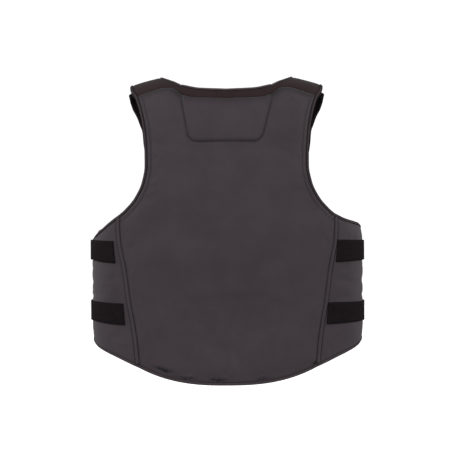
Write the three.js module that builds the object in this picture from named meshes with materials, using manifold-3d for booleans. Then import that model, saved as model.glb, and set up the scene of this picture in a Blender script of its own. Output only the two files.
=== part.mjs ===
// Equestrian body protector: padded back with side wings, shoulder yokes, a padded front and side straps.
// It stands as it is worn. Millimetres, +Z up, the back faces -Y, and the wearer's left is -X.
// The origin lies midway between the shoulders, at the level where the yokes rest on them.
import * as THREE from 'three';
import { mergeVertices } from 'three/addons/utils/BufferGeometryUtils.js';
import Module from 'manifold-3d';

// Body form, measured to the middle layer of the padding
const BACK_LENGTH = 519;
const HALF_WIDTH = 234.5;
const BACK_DEPTH = 95;
const FRONT_DEPTH = 101;
const GIRTH_POWER = 2.4;
const SHOULDER_FALL = 27;
const SHOULDER_POWER = 1.37;
const REST_SPREAD = 140;
const ARCH_POWER = 2.2;
const ARCH_RADIUS = 105;
const ARCH_FOOT = 109;

// Padding and tape
const PANEL_THICKNESS = 18;
const WING_THICKNESS = 15;
const YOKE_THICKNESS = 12;
const TAB_THICKNESS = 10;
const SEAM_THICKNESS = 12;
const BOUND_THICKNESS = 7;
const BINDING_WIDTH = 8;
const BINDING_WALL = 1.2;
const CREST_WIDTH = 32;
const CREST_STOP = 0.7;
const NARROW_SHEET = 83;
const BINDING_SWELL = 0.45;
const MITER_LIMIT = 0.7;

// Outline sizes
const HEM_DROP = 29;
const HEM_POWER = 2.6;
const YOKE_INNER = 76;
const SIDE_EDGE = 12;
const SIDE_OPENING = 6;
const WING_CORNER = 6;
const WING_TOP_CORNER = { left: 9, right: 15 };
const FLAP_LEAN = 150;
const TAB_LEAN = 83;
const FRONT_SEAM = 100;
const FRONT_HEM = 455;
const FRONT_HEM_DROP = 12;
const FRONT_NECK_HALF = 88;
const FRONT_NECK_DROP = 40;
const UNDERARM = 252;
const UNDERARM_ROUND = 24;
const FRONT_LEAN = 6;
const TAB_CORNER = 11;
const TUCK_LEAD = 10;

// Neck pad, seam welts and straps
const PAD_HALF_TOP = 76;
const PAD_HALF_LOW = 61;
const PAD_BOTTOM = 107;
const PAD_CORNER = 12;
const PAD_THICKNESS = 4;
const PAD_PROUD = 1;
const PAD_GROOVE = 1.2;
const WELT_WIDTH = 7;
const WELT_THICKNESS = 1.2;
const STRAP_WIDTH = 38;
const STRAP_THICKNESS = 2.6;
const STRAP_STEP_TURN = 69;
const STRAP_SETBACK = { left: 9, right: 2 };
const STRAP_END_TURN = 132;
const STRAP_STEP_RUN = 29;
const UPPER_STRAP = 293;
const LOWER_STRAP = 400.5;

// Clearances
const GAP = 0.45;
const TAPE_GAP = 1.2;
const INNER_TAPE_GAP = 1.8;
const TAPE_END_GAP = 0.8;
const STRAP_GAP = 0.8;
const TUCK_GAP = 1.2;

const CLOTH = { color: 0x433b3f, roughness: 0.85, metalness: 0 };
const YOKE_CLOTH = { color: 0x3a2e30, roughness: 0.88, metalness: 0 };
const TAPE = { color: 0x382f31, roughness: 0.8, metalness: 0 };
const LOOP = { color: 0x1e191c, roughness: 0.95, metalness: 0 };

// Girth and depths of the torso, by level down the back, as shares of the named sizes
const TORSO = [
  { level: 0.21, width: 0.917, back: 0.956, front: 0.946 },
  { level: 0.36, width: 0.965, back: 1.0, front: 1.0 },
  { level: 0.55, width: 1.0, back: 0.967, front: 1.0 },
  { level: 0.78, width: 1.0, back: 0.846, front: 0.967 },
  { level: 1.0, width: 1.0, back: 0.868, front: 0.946 },
];

// Half width of the back at the armhole, and along the seam below it, as shares of HALF_WIDTH
const ARMHOLE = [
  { level: 0.0505, half: 0.672 },
  { level: 0.107, half: 0.634 },
  { level: 0.169, half: 0.605 },
  { level: 0.231, half: 0.5935 },
  { level: 0.284, half: 0.592 },
  { level: 0.337, half: 0.613 },
  { level: 0.389, half: 0.669 },
  { level: 0.428, half: 0.745 },
  { level: 0.4415, half: 0.781 },
];
const SIDE_SEAM = [
  { level: 0.4415, half: 0.781 },
  { level: 0.468, half: 0.787 },
  { level: 0.527, half: 0.782 },
  { level: 0.577, half: 0.763 },
  { level: 0.62, half: 0.745 },
  { level: 0.67, half: 0.732 },
  { level: 0.736, half: 0.7145 },
  { level: 0.792, half: 0.693 },
  { level: 0.871, half: 0.667 },
  { level: 0.9475, half: 0.651 },
];

// Top edge of the back panel: height against distance from the centre, as a share of the half width there
const YOKE_SEAM = [
  { across: 0, level: 0.0632 },
  { across: 0.377, level: 0.0583 },
  { across: 0.486, level: 0.047 },
  { across: 0.594, level: 0.0255 },
  { across: 0.68, level: 0.025 },
  { across: 0.8, level: 0.034 },
  { across: 1.0, level: 0.0525 },
];

// Back neckline between the yokes, across as a share of YOKE_INNER
const NECKLINE = [
  { across: 0, level: 0.031 },
  { across: 0.6, level: 0.0263 },
  { across: 1.0, level: 0.0135 },
];

// Neck and arm edges of a yoke, from the back seam over the shoulder to the flap's end,
// as shares of YOKE_INNER and of the half width at the top of the back
const YOKE_NECK = [
  { up: 0, half: 1 },
  { up: 0.0725, half: 1 },
  { up: 0.14, half: 1.145 },
  { up: 0.203, half: 1.3 },
  { up: 0.284, half: 1.428 },
  { up: 0.373, half: 1.486 },
  { up: 0.481, half: 1.5 },
  { up: 0.731, half: 1.455 },
  { up: 1, half: 1.31 },
];
const YOKE_ARM = [
  { up: 0, half: 1 },
  { up: 0.084, half: 1.044 },
  { up: 0.218, half: 1.071 },
  { up: 0.43, half: 1.083 },
  { up: 0.714, half: 1.072 },
  { up: 1, half: 1.032 },
];

// Top edges of the left and the right wing, and their bottom edge, from the seam to the front edge.
// The right wing is drawn up higher, as it is worn
const WING_TOP = [
  { across: 0, left: 0.4415, right: 0.4415 },
  { across: 0.16, left: 0.469, right: 0.459 },
  { across: 0.35, left: 0.495, right: 0.468 },
  { across: 0.52, left: 0.509, right: 0.473 },
  { across: 0.78, left: 0.522, right: 0.481 },
  { across: 1.0, left: 0.529, right: 0.489 },
];
const WING_HEM = [
  { across: 0, level: 0.9475 },
  { across: 0.19, level: 0.9185 },
  { across: 0.32, level: 0.904 },
  { across: 0.47, level: 0.8915 },
  { across: 0.64, level: 0.88 },
  { across: 0.8, level: 0.869 },
  { across: 1.0, level: 0.857 },
];

// Front armhole below the shoulder seam, and above it the edges of a front shoulder,
// as shares of the half width and the neck half width at that seam
const FRONT_ARMHOLE = [
  { level: 0.1927, half: 0.6416 },
  { level: 0.25, half: 0.6266 },
  { level: 0.318, half: 0.6266 },
  { level: 0.376, half: 0.648 },
  { level: 0.42, half: 0.6996 },
  { level: 0.4526, half: 0.7725 },
  { level: 0.4737, half: 0.85 },
  { level: 0.4835, half: 0.91 },
  { level: 0.4865, half: 0.955 },
];
const TAB_ARM = [
  { up: 0, half: 1 },
  { up: 0.198, half: 1.039 },
  { up: 0.289, half: 1.067 },
  { up: 0.407, half: 1.1 },
  { up: 0.562, half: 1.147 },
  { up: 0.718, half: 1.157 },
  { up: 1, half: 1.158 },
];
const TAB_NECK = [
  { up: 0, half: 1 },
  { up: 0.321, half: 1.114 },
  { up: 0.705, half: 1.249 },
  { up: 1, half: 1.289 },
];

const lerp = THREE.MathUtils.lerp;
const radians = THREE.MathUtils.degToRad;
const clamp01 = (value) => Math.min(Math.max(value, 0), 1);
const smooth = (value) => clamp01(value) ** 2 * (3 - 2 * clamp01(value));
const between = (from, to, shares) => shares.map((share) => lerp(from, to, share));
const evenly = (count) => Array.from({ length: count + 1 }, (_, i) => i / count);
const mirrored = (list) => [...list.slice(1).reverse().map((share) => -share), ...list];
const reversed = (list) => [...list].reverse();

// A smooth curve through a table's rows that never overshoots them
function readTable(rows, key, column, at) {
  const last = rows.length - 1;
  const where = Math.min(Math.max(at, rows[0][key]), rows[last][key]);
  let i = 0;
  while (i < last - 1 && where > rows[i + 1][key]) i += 1;
  const step = (j) => (rows[j + 1][column] - rows[j][column]) / (rows[j + 1][key] - rows[j][key]);
  const slope = (j) => {
    if (j === 0) return step(0);
    if (j === last) return step(last - 1);
    const before = step(j - 1);
    const after = step(j);
    return before * after <= 0 ? 0 : (2 * before * after) / (before + after);
  };
  const span = rows[i + 1][key] - rows[i][key];
  const t = (where - rows[i][key]) / span;
  const rise = rows[i + 1][column] - rows[i][column];
  const bend = t * (1 - t) * ((1 - t) * (slope(i) * span - rise) - t * (slope(i + 1) * span - rise));
  return rows[i][column] + rise * t + bend;
}

// Reach of an oval with rounded flanks, as a share of its half axes
const ovalReach = (angle, power) =>
  (Math.abs(Math.sin(angle)) ** power + Math.abs(Math.cos(angle)) ** power) ** (-1 / power);

const shoulderLine = (x) =>
  YOKE_THICKNESS / 2 + SHOULDER_FALL * (1 - (Math.abs(x) / REST_SPREAD) ** SHOULDER_POWER);

const levelOf = (climb) => Math.max(-climb, ARCH_FOOT) / BACK_LENGTH;

const halfWidthAt = (climb) => HALF_WIDTH * readTable(TORSO, 'level', 'width', levelOf(climb));

// A climb is a height below the shoulder arch, and above its foot the way up and over the arch
const climbOfLean = (lean) => ARCH_RADIUS * radians(lean) - ARCH_FOOT;

// Angle round the torso, from the centre of the back, at which the form is x from the middle
function turnAt(x, climb) {
  const share = Math.min(Math.abs(x) / halfWidthAt(climb), 1);
  return Math.sign(x) * Math.atan2(share, (1 - share ** GIRTH_POWER) ** (1 / GIRTH_POWER));
}

function climbAt(x, z) {
  if (z <= -ARCH_FOOT) return z;
  const share = Math.min((z + ARCH_FOOT) / (shoulderLine(x) + ARCH_FOOT), 1);
  return ARCH_RADIUS * Math.atan2(share, (1 - share ** ARCH_POWER) ** (1 / ARCH_POWER)) - ARCH_FOOT;
}

// Middle layer of the whole protector: turn goes round the torso, climb goes up it and over the shoulder
function formPoint(turn, climb) {
  const reach = ovalReach(turn, GIRTH_POWER);
  const lean = Math.max(climb + ARCH_FOOT, 0) / ARCH_RADIUS;
  const arch = ovalReach(lean, ARCH_POWER);
  const facing = Math.cos(turn) * Math.cos(lean);
  const level = levelOf(climb);
  const depth = facing > 0
    ? BACK_DEPTH * readTable(TORSO, 'level', 'back', level)
    : FRONT_DEPTH * readTable(TORSO, 'level', 'front', level);
  const x = halfWidthAt(climb) * Math.sin(turn) * reach;
  const y = -depth * facing * reach * arch;
  const top = shoulderLine(x) + ARCH_FOOT;
  const z = lean > 0 ? top * Math.sin(lean) * arch - ARCH_FOOT : climb;
  return new THREE.Vector3(x, y, z);
}

// Unit vector out of the torso at a point of a surface
function outward(surface, turn, climb) {
  const step = 1e-4;
  const rise = step * ARCH_RADIUS;
  const across = surface(turn + step, climb).sub(surface(turn - step, climb));
  const along = surface(turn, climb + rise).sub(surface(turn, climb - rise));
  const normal = across.cross(along).normalize();
  const here = surface(turn, climb);
  const centre = new THREE.Vector3(0, 0, Math.min(here.z, -ARCH_FOOT));
  return normal.dot(here.sub(centre)) < 0 ? normal.negate() : normal;
}

function surfaceNode(surface, turn, climb) {
  return { surface, turn, climb, middle: surface(turn, climb), normal: outward(surface, turn, climb) };
}

// The node that lies a short vector away along the surface
function nodeBeside(node, away) {
  const step = 1e-4;
  const across = node.surface(node.turn + step, node.climb).sub(node.middle).divideScalar(step);
  const along = node.surface(node.turn, node.climb + step).sub(node.middle).divideScalar(step);
  const aa = across.dot(across);
  const ab = across.dot(along);
  const bb = along.dot(along);
  const determinant = aa * bb - ab * ab;
  const a = across.dot(away);
  const b = along.dot(away);
  const turn = node.turn + (a * bb - b * ab) / determinant;
  const climb = node.climb + (b * aa - a * ab) / determinant;
  return surfaceNode(node.surface, turn, climb);
}

const faces = (node, low, high) => ({
  ...node,
  outer: node.middle.clone().addScaledVector(node.normal, high),
  inner: node.middle.clone().addScaledVector(node.normal, low),
});

// Share stops across a size: a ring under the tape and one on the crest at each edge, even steps between
function stops(size, middle) {
  const crest = CREST_STOP * CREST_WIDTH * Math.min(1, size / NARROW_SHEET);
  const first = (BINDING_WIDTH + 1) / size;
  const second = Math.max(crest, 2 * BINDING_WIDTH) / size;
  return [0, first, ...between(second, 1 - second, evenly(middle)), 1 - first, 1];
}

// Thickness at a distance from an edge: straight under the tape, then rounding over to the full padding
function swell(edge, full, distance) {
  if (distance < BINDING_WIDTH) return lerp(edge, full, (BINDING_SWELL * distance) / BINDING_WIDTH);
  const crest = clamp01((distance - BINDING_WIDTH) / (CREST_WIDTH - BINDING_WIDTH));
  return lerp(edge, full, lerp(BINDING_SWELL, 1, 1 - (1 - crest) ** 2));
}

function distanceTo(point, line) {
  let best = Infinity;
  const nearest = new THREE.Vector3();
  for (let k = 0; k < line.length - 1; k += 1) {
    new THREE.Line3(line[k].middle, line[k + 1].middle).closestPointToPoint(point, true, nearest);
    best = Math.min(best, nearest.distanceTo(point));
  }
  return best;
}

// A padded sheet over a grid of places, as thick at each of its edges as that edge says
function paddedGrid({ surface, place, across, along, thickness, edges }) {
  const grid = across.map((u) => along.map((v) => surfaceNode(surface, ...place(u, v))));
  const last = { start: 0, end: across.length - 1, low: 0, high: along.length - 1 };
  const lines = edges.map(({ side, from, to, edge }) => {
    const nodes = side === 'start' || side === 'end'
      ? grid[last[side]]
      : grid.map((column) => column[last[side]]);
    return { line: nodes.slice(from ?? 0, (to ?? nodes.length - 1) + 1), edge };
  });
  return grid.map((column) => column.map((node) => {
    const full = thickness(node.climb);
    const depths = lines.map(({ line, edge }) => swell(edge, full, distanceTo(node.middle, line)));
    const half = Math.min(full, ...depths) / 2;
    return { ...faces(node, -half, half), half, full };
  }));
}

// Closed solid between the outer and inner faces of a grid
function slab(grid) {
  const columns = grid.length;
  const rows = grid[0].length;
  const positions = [];
  const triangles = [];
  for (const face of ['outer', 'inner']) {
    for (const column of grid) {
      for (const node of column) positions.push(...node[face].toArray());
    }
  }
  const at = (i, j, inner) => (inner ? columns * rows : 0) + i * rows + j;
  const quad = (a, b, c, d) => triangles.push(a, b, c, a, c, d);
  for (let i = 0; i < columns - 1; i += 1) {
    for (let j = 0; j < rows - 1; j += 1) {
      quad(at(i, j, false), at(i + 1, j, false), at(i + 1, j + 1, false), at(i, j + 1, false));
      quad(at(i, j, true), at(i, j + 1, true), at(i + 1, j + 1, true), at(i + 1, j, true));
    }
    quad(at(i, 0, false), at(i, 0, true), at(i + 1, 0, true), at(i + 1, 0, false));
    const top = rows - 1;
    quad(at(i, top, false), at(i + 1, top, false), at(i + 1, top, true), at(i, top, true));
  }
  for (let j = 0; j < rows - 1; j += 1) {
    quad(at(0, j, false), at(0, j + 1, false), at(0, j + 1, true), at(0, j, true));
    const end = columns - 1;
    quad(at(end, j, false), at(end, j, true), at(end, j + 1, true), at(end, j + 1, false));
  }
  return facingOut(positions, triangles);
}

// Geometry whose triangles face out of the solid
function facingOut(positions, triangles) {
  const corner = (k) => new THREE.Vector3().fromArray(positions, 3 * triangles[k]);
  let volume = 0;
  for (let k = 0; k < triangles.length; k += 3) {
    volume += corner(k).dot(corner(k + 1).cross(corner(k + 2)));
  }
  if (volume < 0) triangles.reverse();
  const geometry = new THREE.BufferGeometry();
  geometry.setAttribute('position', new THREE.Float32BufferAttribute(positions, 3));
  geometry.setIndex(triangles);
  return geometry;
}

const body = new THREE.Group();

function addPiece(name, geometry, finish) {
  geometry.computeVertexNormals();
  const mesh = new THREE.Mesh(geometry, new THREE.MeshStandardMaterial(finish));
  mesh.name = name;
  body.add(mesh);
}

const wasm = await Module();
wasm.setup();

function asManifold(geometry) {
  const bare = geometry.clone();
  bare.deleteAttribute('normal');
  const merged = mergeVertices(bare, 1e-4);
  const mesh = new wasm.Mesh({
    numProp: 3,
    vertProperties: Float32Array.from(merged.attributes.position.array),
    triVerts: Uint32Array.from(merged.index.array),
  });
  return new wasm.Manifold(mesh);
}

function cutAway(geometry, tool) {
  const mesh = asManifold(geometry).subtract(asManifold(tool)).getMesh();
  const result = new THREE.BufferGeometry();
  result.setAttribute('position', new THREE.Float32BufferAttribute(mesh.vertProperties, 3));
  result.setIndex(Array.from(mesh.triVerts));
  return result;
}

// Edges of the back panel
const backHalf = (climb) => {
  const level = -climb / BACK_LENGTH;
  const rows = level < SIDE_SEAM[0].level ? ARMHOLE : SIDE_SEAM;
  return HALF_WIDTH * readTable(rows, 'level', 'half', level);
};
const HEM_CORNER = -BACK_LENGTH * SIDE_SEAM[SIDE_SEAM.length - 1].level;
const SEAM_TOP = -BACK_LENGTH * SIDE_SEAM[0].level;
const BACK_TOP = -BACK_LENGTH * ARMHOLE[0].level;
const backTopHalf = backHalf(BACK_TOP);

function yokeSeam(x) {
  const across = Math.abs(x) / backTopHalf;
  return climbAt(x, -BACK_LENGTH * readTable(YOKE_SEAM, 'across', 'level', across));
}

const backHem = (share) => HEM_CORNER - HEM_DROP * (1 - Math.abs(share) ** HEM_POWER);

function backPlace(u, v) {
  const side = lerp(HEM_CORNER, BACK_TOP, v);
  const x = u * backHalf(side);
  const hem = (backHem(u) - HEM_CORNER) * Math.max(1 - v, 0) ** 2;
  const top = (yokeSeam(u * backTopHalf) - BACK_TOP) * Math.max(v, 0) ** 3;
  return [turnAt(x, side), side + hem + top];
}

// Columns of the back line up with the yokes and the neck band above it
const lastHalf = (rows) => rows[rows.length - 1].half;
const yokeStops = stops(backTopHalf * lastHalf(YOKE_ARM) - YOKE_INNER * lastHalf(YOKE_NECK), 2);
const bandStops = [0, 0.25, 0.5, 0.75];
const rightShares = [
  ...bandStops.map((share) => (share * YOKE_INNER) / backTopHalf),
  ...between(YOKE_INNER / backTopHalf, 1, yokeStops),
];
const seamShare = (SEAM_TOP - HEM_CORNER) / (BACK_TOP - HEM_CORNER);
const seamRows = stops(SEAM_TOP - HEM_CORNER, 5).slice(0, -2);
const backRows = [
  ...between(0, seamShare, seamRows),
  ...between(seamShare, 1, [0, 0.06, 0.14, 0.24, 0.37, 0.52, 0.68, 0.84, 0.95, 1]),
];
const backThickness = () => PANEL_THICKNESS;
const seamRow = seamRows.length;
const backGrid = paddedGrid({
  surface: formPoint,
  place: backPlace,
  across: mirrored(rightShares),
  along: backRows,
  thickness: backThickness,
  edges: [
    { side: 'low', edge: BOUND_THICKNESS },
    { side: 'high', edge: SEAM_THICKNESS },
    ...['start', 'end'].flatMap((side) => [
      { side, to: seamRow, edge: SEAM_THICKNESS },
      { side, from: seamRow, edge: BOUND_THICKNESS },
    ]),
  ],
});

// Neck pad: a trapezoid with round lower corners, let into the back panel
const PAD_ROWS = [0, 0.04, 0.12, 0.35, 0.6, 0.8, 0.9, 1];

function padHalf(row) {
  const height = PAD_BOTTOM + yokeSeam(0);
  const rounding = PAD_CORNER - Math.min(row * height, PAD_CORNER);
  const corner = PAD_CORNER - Math.sqrt(PAD_CORNER ** 2 - rounding ** 2);
  return lerp(PAD_HALF_LOW, PAD_HALF_TOP, row) - corner;
}

function padGrid({ grow, rise, sink, overrun }) {
  const surface = PANEL_THICKNESS / 2 + PAD_PROUD;
  const node = (x, climb) => {
    const edge = clamp01((yokeSeam(x) - climb) / CREST_WIDTH);
    const lift = lerp(SEAM_THICKNESS / 2, surface, smooth(edge));
    return faces(surfaceNode(formPoint, turnAt(x, climb), climb), lift - PAD_THICKNESS - sink, lift + rise);
  };
  return mirrored([0, 0.3, 0.6, 0.85, 1]).map((share) => {
    const climbs = (x) => between(-PAD_BOTTOM, yokeSeam(x) - GAP, PAD_ROWS);
    const column = PAD_ROWS.map((row, j) => {
      const x = share * (padHalf(row) + grow);
      return node(x, climbs(x)[j] - (j === 0 ? grow : 0));
    });
    const x = share * (PAD_HALF_TOP + grow);
    return overrun > 0 ? [...column, node(x, yokeSeam(x) + overrun)] : column;
  });
}
const padRecess = slab(padGrid({
  grow: PAD_GROOVE,
  rise: PANEL_THICKNESS / 2,
  sink: GAP,
  overrun: CREST_WIDTH / 2,
}));
addPiece('back_panel', cutAway(slab(backGrid), padRecess), CLOTH);
addPiece('neck_pad', slab(padGrid({ grow: 0, rise: 0, sink: 0, overrun: 0 })), CLOTH);

// Neck band between the yokes
const neckTop = (x) =>
  climbAt(x, -BACK_LENGTH * readTable(NECKLINE, 'across', 'level', Math.abs(x) / YOKE_INNER));
const bandGrid = paddedGrid({
  surface: formPoint,
  place: (u, v) => {
    const x = u * (YOKE_INNER - GAP);
    return [turnAt(x, 0), lerp(yokeSeam(x) + GAP, neckTop(x), v)];
  },
  across: mirrored([...bandStops, 1]),
  along: [0, 0.4, 1],
  thickness: () => SEAM_THICKNESS,
  edges: [{ side: 'high', edge: BOUND_THICKNESS }],
});
addPiece('neck_band', slab(bandGrid), YOKE_CLOTH);

// Shoulder yokes, from the back seam over the shoulder to a flap in front
const yokeStart = yokeSeam(YOKE_INNER) + GAP;
const flapEnd = climbOfLean(FLAP_LEAN);
const neckCorner = (neckTop(YOKE_INNER) - yokeStart) / (flapEnd - yokeStart);
const yokeRows = [0, ...between(neckCorner, 1, [0, 0.07, 0.15, 0.24, 0.34, 0.46, 0.6, 0.75, 0.9, 0.95, 1])];

// Distance along a quarter circle's corner that an edge draws back, close to its end
function roundEnd(toEnd, radius) {
  const depth = radius - Math.min(Math.max(toEnd, 0), radius);
  return radius - Math.sqrt(radius ** 2 - depth ** 2);
}

const yokeGrid = (side) => paddedGrid({
  surface: formPoint,
  place: (u, v) => {
    const inner = YOKE_INNER * readTable(YOKE_NECK, 'up', 'half', v);
    const outer = backTopHalf * readTable(YOKE_ARM, 'up', 'half', v);
    const low = yokeSeam(lerp(YOKE_INNER, backTopHalf, u)) + GAP;
    return [side * turnAt(lerp(inner, outer, u), 0), lerp(low, flapEnd, v)];
  },
  across: yokeStops,
  along: yokeRows,
  thickness: () => YOKE_THICKNESS,
  edges: [
    { side: 'start', from: 1, edge: BOUND_THICKNESS },
    { side: 'end', edge: BOUND_THICKNESS },
    { side: 'high', edge: BOUND_THICKNESS },
  ],
});

// Side wings, from the seam round the side to their own front edge
const turnAtFront = (y) => Math.PI / 2 + Math.atan2(y, FRONT_DEPTH);
const wingFront = turnAtFront(SIDE_EDGE);
const seamTurn = (climb) => turnAt(backHalf(Math.min(climb, SEAM_TOP - 1e-6)), climb);
const seamStep = (climb, distance) => {
  const turn = seamTurn(climb);
  const step = 1e-3;
  const speed = formPoint(turn + step, climb).distanceTo(formPoint(turn, climb)) / step;
  return distance / speed;
};
const wingSpan = evenly(12).reduce((sum, share, k, shares) => {
  if (k === 0) return 0;
  const at = (part) => formPoint(lerp(seamTurn(SEAM_TOP), wingFront, part), SEAM_TOP);
  return sum + at(share).distanceTo(at(shares[k - 1]));
}, 0);

const wingStops = [...stops(wingSpan, 4).slice(0, -1), 1 - 2 / wingSpan, 1];
const wingRows = stops(SEAM_TOP - HEM_CORNER, 5);
const wingJoint = wingStops.length - 4;
const wingGrid = (side) => paddedGrid({
  surface: formPoint,
  place: (u, v) => {
    const toFront = (1 - u) * wingSpan;
    const hand = side < 0 ? 'left' : 'right';
    const low = -BACK_LENGTH * readTable(WING_HEM, 'across', 'level', u) + roundEnd(toFront, WING_CORNER);
    const top = -BACK_LENGTH * readTable(WING_TOP, 'across', hand, u);
    const high = top - roundEnd(toFront, WING_TOP_CORNER[hand]);
    const climb = lerp(low, high, v);
    const start = seamTurn(climb) + seamStep(climb, GAP);
    return [side * lerp(start, wingFront, u), climb];
  },
  across: wingStops,
  along: wingRows,
  thickness: () => WING_THICKNESS,
  edges: [
    { side: 'start', edge: SEAM_THICKNESS },
    { side: 'end', edge: BOUND_THICKNESS },
    { side: 'low', edge: BOUND_THICKNESS },
    { side: 'high', edge: BOUND_THICKNESS },
  ],
});

// Front panel, whose top edge is the front neckline and the seams of the two front shoulders
const frontEdge = turnAtFront(SIDE_EDGE + SIDE_OPENING);
const frontSeam = -FRONT_SEAM;
const underarm = -UNDERARM;
const frontHem = -FRONT_HEM;

function frontTurn(climb) {
  if (climb > underarm) {
    const half = HALF_WIDTH * readTable(FRONT_ARMHOLE, 'level', 'half', -climb / BACK_LENGTH);
    return turnAt(half, climb);
  }
  const inner = turnAt(HALF_WIDTH * FRONT_ARMHOLE[FRONT_ARMHOLE.length - 1].half, underarm);
  const outer = Math.PI - frontEdge;
  const down = clamp01((underarm - climb) / UNDERARM_ROUND);
  return lerp(inner, outer, Math.sqrt(1 - (1 - down) ** 2));
}

function frontNeck(x) {
  const share = Math.min(Math.abs(x) / FRONT_NECK_HALF, 1);
  return frontSeam - FRONT_NECK_DROP * Math.sqrt(1 - share ** 2);
}

// How far the front shoulder is tucked under the yoke's flap
const flapFoot = climbOfLean(180 - FLAP_LEAN);
const tapedHalf = (full) =>
  Math.max(full, swell(BOUND_THICKNESS, full, BINDING_WIDTH) + 2 * (INNER_TAPE_GAP + BINDING_WALL)) / 2;
const TUCK = tapedHalf(YOKE_THICKNESS) + tapedHalf(TAB_THICKNESS) + TUCK_GAP;
const tuckAt = (climb) => TUCK * smooth((climb - frontSeam) / (flapFoot - TUCK_LEAD - frontSeam));

function frontPoint(turn, climb) {
  const point = formPoint(turn, climb);
  point.addScaledVector(outward(formPoint, turn, climb), -tuckAt(climb));
  point.z += (FRONT_LEAN * point.x / HALF_WIDTH) * smooth((frontSeam - climb) / FRONT_SEAM);
  return point;
}

function frontPlace(u, v) {
  const side = lerp(frontHem, frontSeam, v);
  const turn = u * frontTurn(side);
  const x = formPoint(turn, side).x;
  const hem = -FRONT_HEM_DROP * (1 - u ** 2) * Math.max(1 - v, 0) ** 2;
  const top = (frontNeck(x) - frontSeam) * Math.max(v, 0) ** 3;
  return [Math.PI - turn, side + hem + top];
}

const cornerRows = [1, 0.6, 0.3, 0.1, 0].map((down) => underarm - down * UNDERARM_ROUND);
const frontClimbs = [
  ...between(frontHem, underarm - UNDERARM_ROUND, [0, 0.05, 0.13, 0.36, 0.62, 0.84]),
  ...cornerRows,
  ...between(underarm, frontSeam, [0.012, 0.035, 0.075, 0.15, 0.28, 0.48, 0.68, 0.83, 0.93, 1]),
];
const sideJoint = frontClimbs.indexOf(cornerRows[0]) - 1;
const frontRows = frontClimbs.map((climb) => (climb - frontHem) / (frontSeam - frontHem));
const neckShare = turnAt(FRONT_NECK_HALF, frontSeam) / frontTurn(frontSeam);
const frontShares = mirrored([
  ...between(0, neckShare, [0, 0.35, 0.65, 0.84, 0.95]),
  ...between(neckShare, 1, [0, 0.28, 0.52, 0.7, 0.82, 0.92, 1]),
]);
const neckColumn = frontShares.length - 1 - frontShares.findIndex((share) => share >= -neckShare - 1e-9);
const frontThickness = (climb) => lerp(PANEL_THICKNESS, TAB_THICKNESS, tuckAt(climb) / TUCK);
const frontTop = frontShares.length - 1 - neckColumn;
const frontGrid = paddedGrid({
  surface: frontPoint,
  place: frontPlace,
  across: frontShares,
  along: frontRows,
  thickness: frontThickness,
  edges: [
    { side: 'start', edge: BOUND_THICKNESS },
    { side: 'end', edge: BOUND_THICKNESS },
    { side: 'low', edge: BOUND_THICKNESS },
    { side: 'high', to: frontTop, edge: SEAM_THICKNESS },
    { side: 'high', from: frontTop, to: neckColumn, edge: BOUND_THICKNESS },
    { side: 'high', from: neckColumn, edge: SEAM_THICKNESS },
  ],
});
addPiece('front_panel', slab(frontGrid), CLOTH);

// Front shoulders, which end under the yokes' flaps and are wider than they are
const tabTop = climbOfLean(TAB_LEAN);
const tabStart = frontSeam + GAP;
const frontTopHalf = HALF_WIDTH * FRONT_ARMHOLE[0].half;
const tabHeight = tabTop - tabStart;
const tabWidth = frontTopHalf * lastHalf(TAB_ARM) - TAB_CORNER - FRONT_NECK_HALF * lastHalf(TAB_NECK);
const tabStops = stops(tabWidth, 1);
const tabRows = [...stops(tabHeight, 5).slice(0, -1), 1 - 2 / tabHeight, 1];
const tabGrid = (side) => paddedGrid({
  surface: frontPoint,
  place: (u, v) => {
    const corner = roundEnd((1 - v) * tabHeight, TAB_CORNER);
    const inner = FRONT_NECK_HALF * readTable(TAB_NECK, 'up', 'half', v);
    const outer = frontTopHalf * readTable(TAB_ARM, 'up', 'half', v) - corner;
    const climb = lerp(tabStart, tabTop, v);
    return [Math.PI - side * turnAt(lerp(inner, outer, u), climb), climb];
  },
  across: tabStops,
  along: tabRows,
  thickness: frontThickness,
  edges: [
    { side: 'start', edge: BOUND_THICKNESS },
    { side: 'end', edge: BOUND_THICKNESS },
    { side: 'low', edge: SEAM_THICKNESS },
    { side: 'high', edge: BOUND_THICKNESS },
  ],
});

// Nodes along one edge of a grid, each with the node next to it inside the sheet
function edgeLine(grid, side) {
  const last = grid.length - 1;
  const top = grid[0].length - 1;
  if (side === 'start') return grid[0].map((node, j) => ({ node, beside: grid[1][j] }));
  if (side === 'end') return grid[last].map((node, j) => ({ node, beside: grid[last - 1][j] }));
  if (side === 'low') return grid.map((column) => ({ node: column[0], beside: column[1] }));
  return grid.map((column) => ({ node: column[top], beside: column[top - 1] }));
}

// Joins edge lines whose end nodes meet, and keeps the thicker of two nodes that meet at a seam
function joinLines(...lines) {
  return lines.reduce((all, line) => {
    const before = all[all.length - 1];
    const after = line[0];
    const kept = before.node.full >= after.node.full ? before : after;
    return [...all.slice(0, -1), kept, ...line.slice(1)];
  });
}

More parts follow.
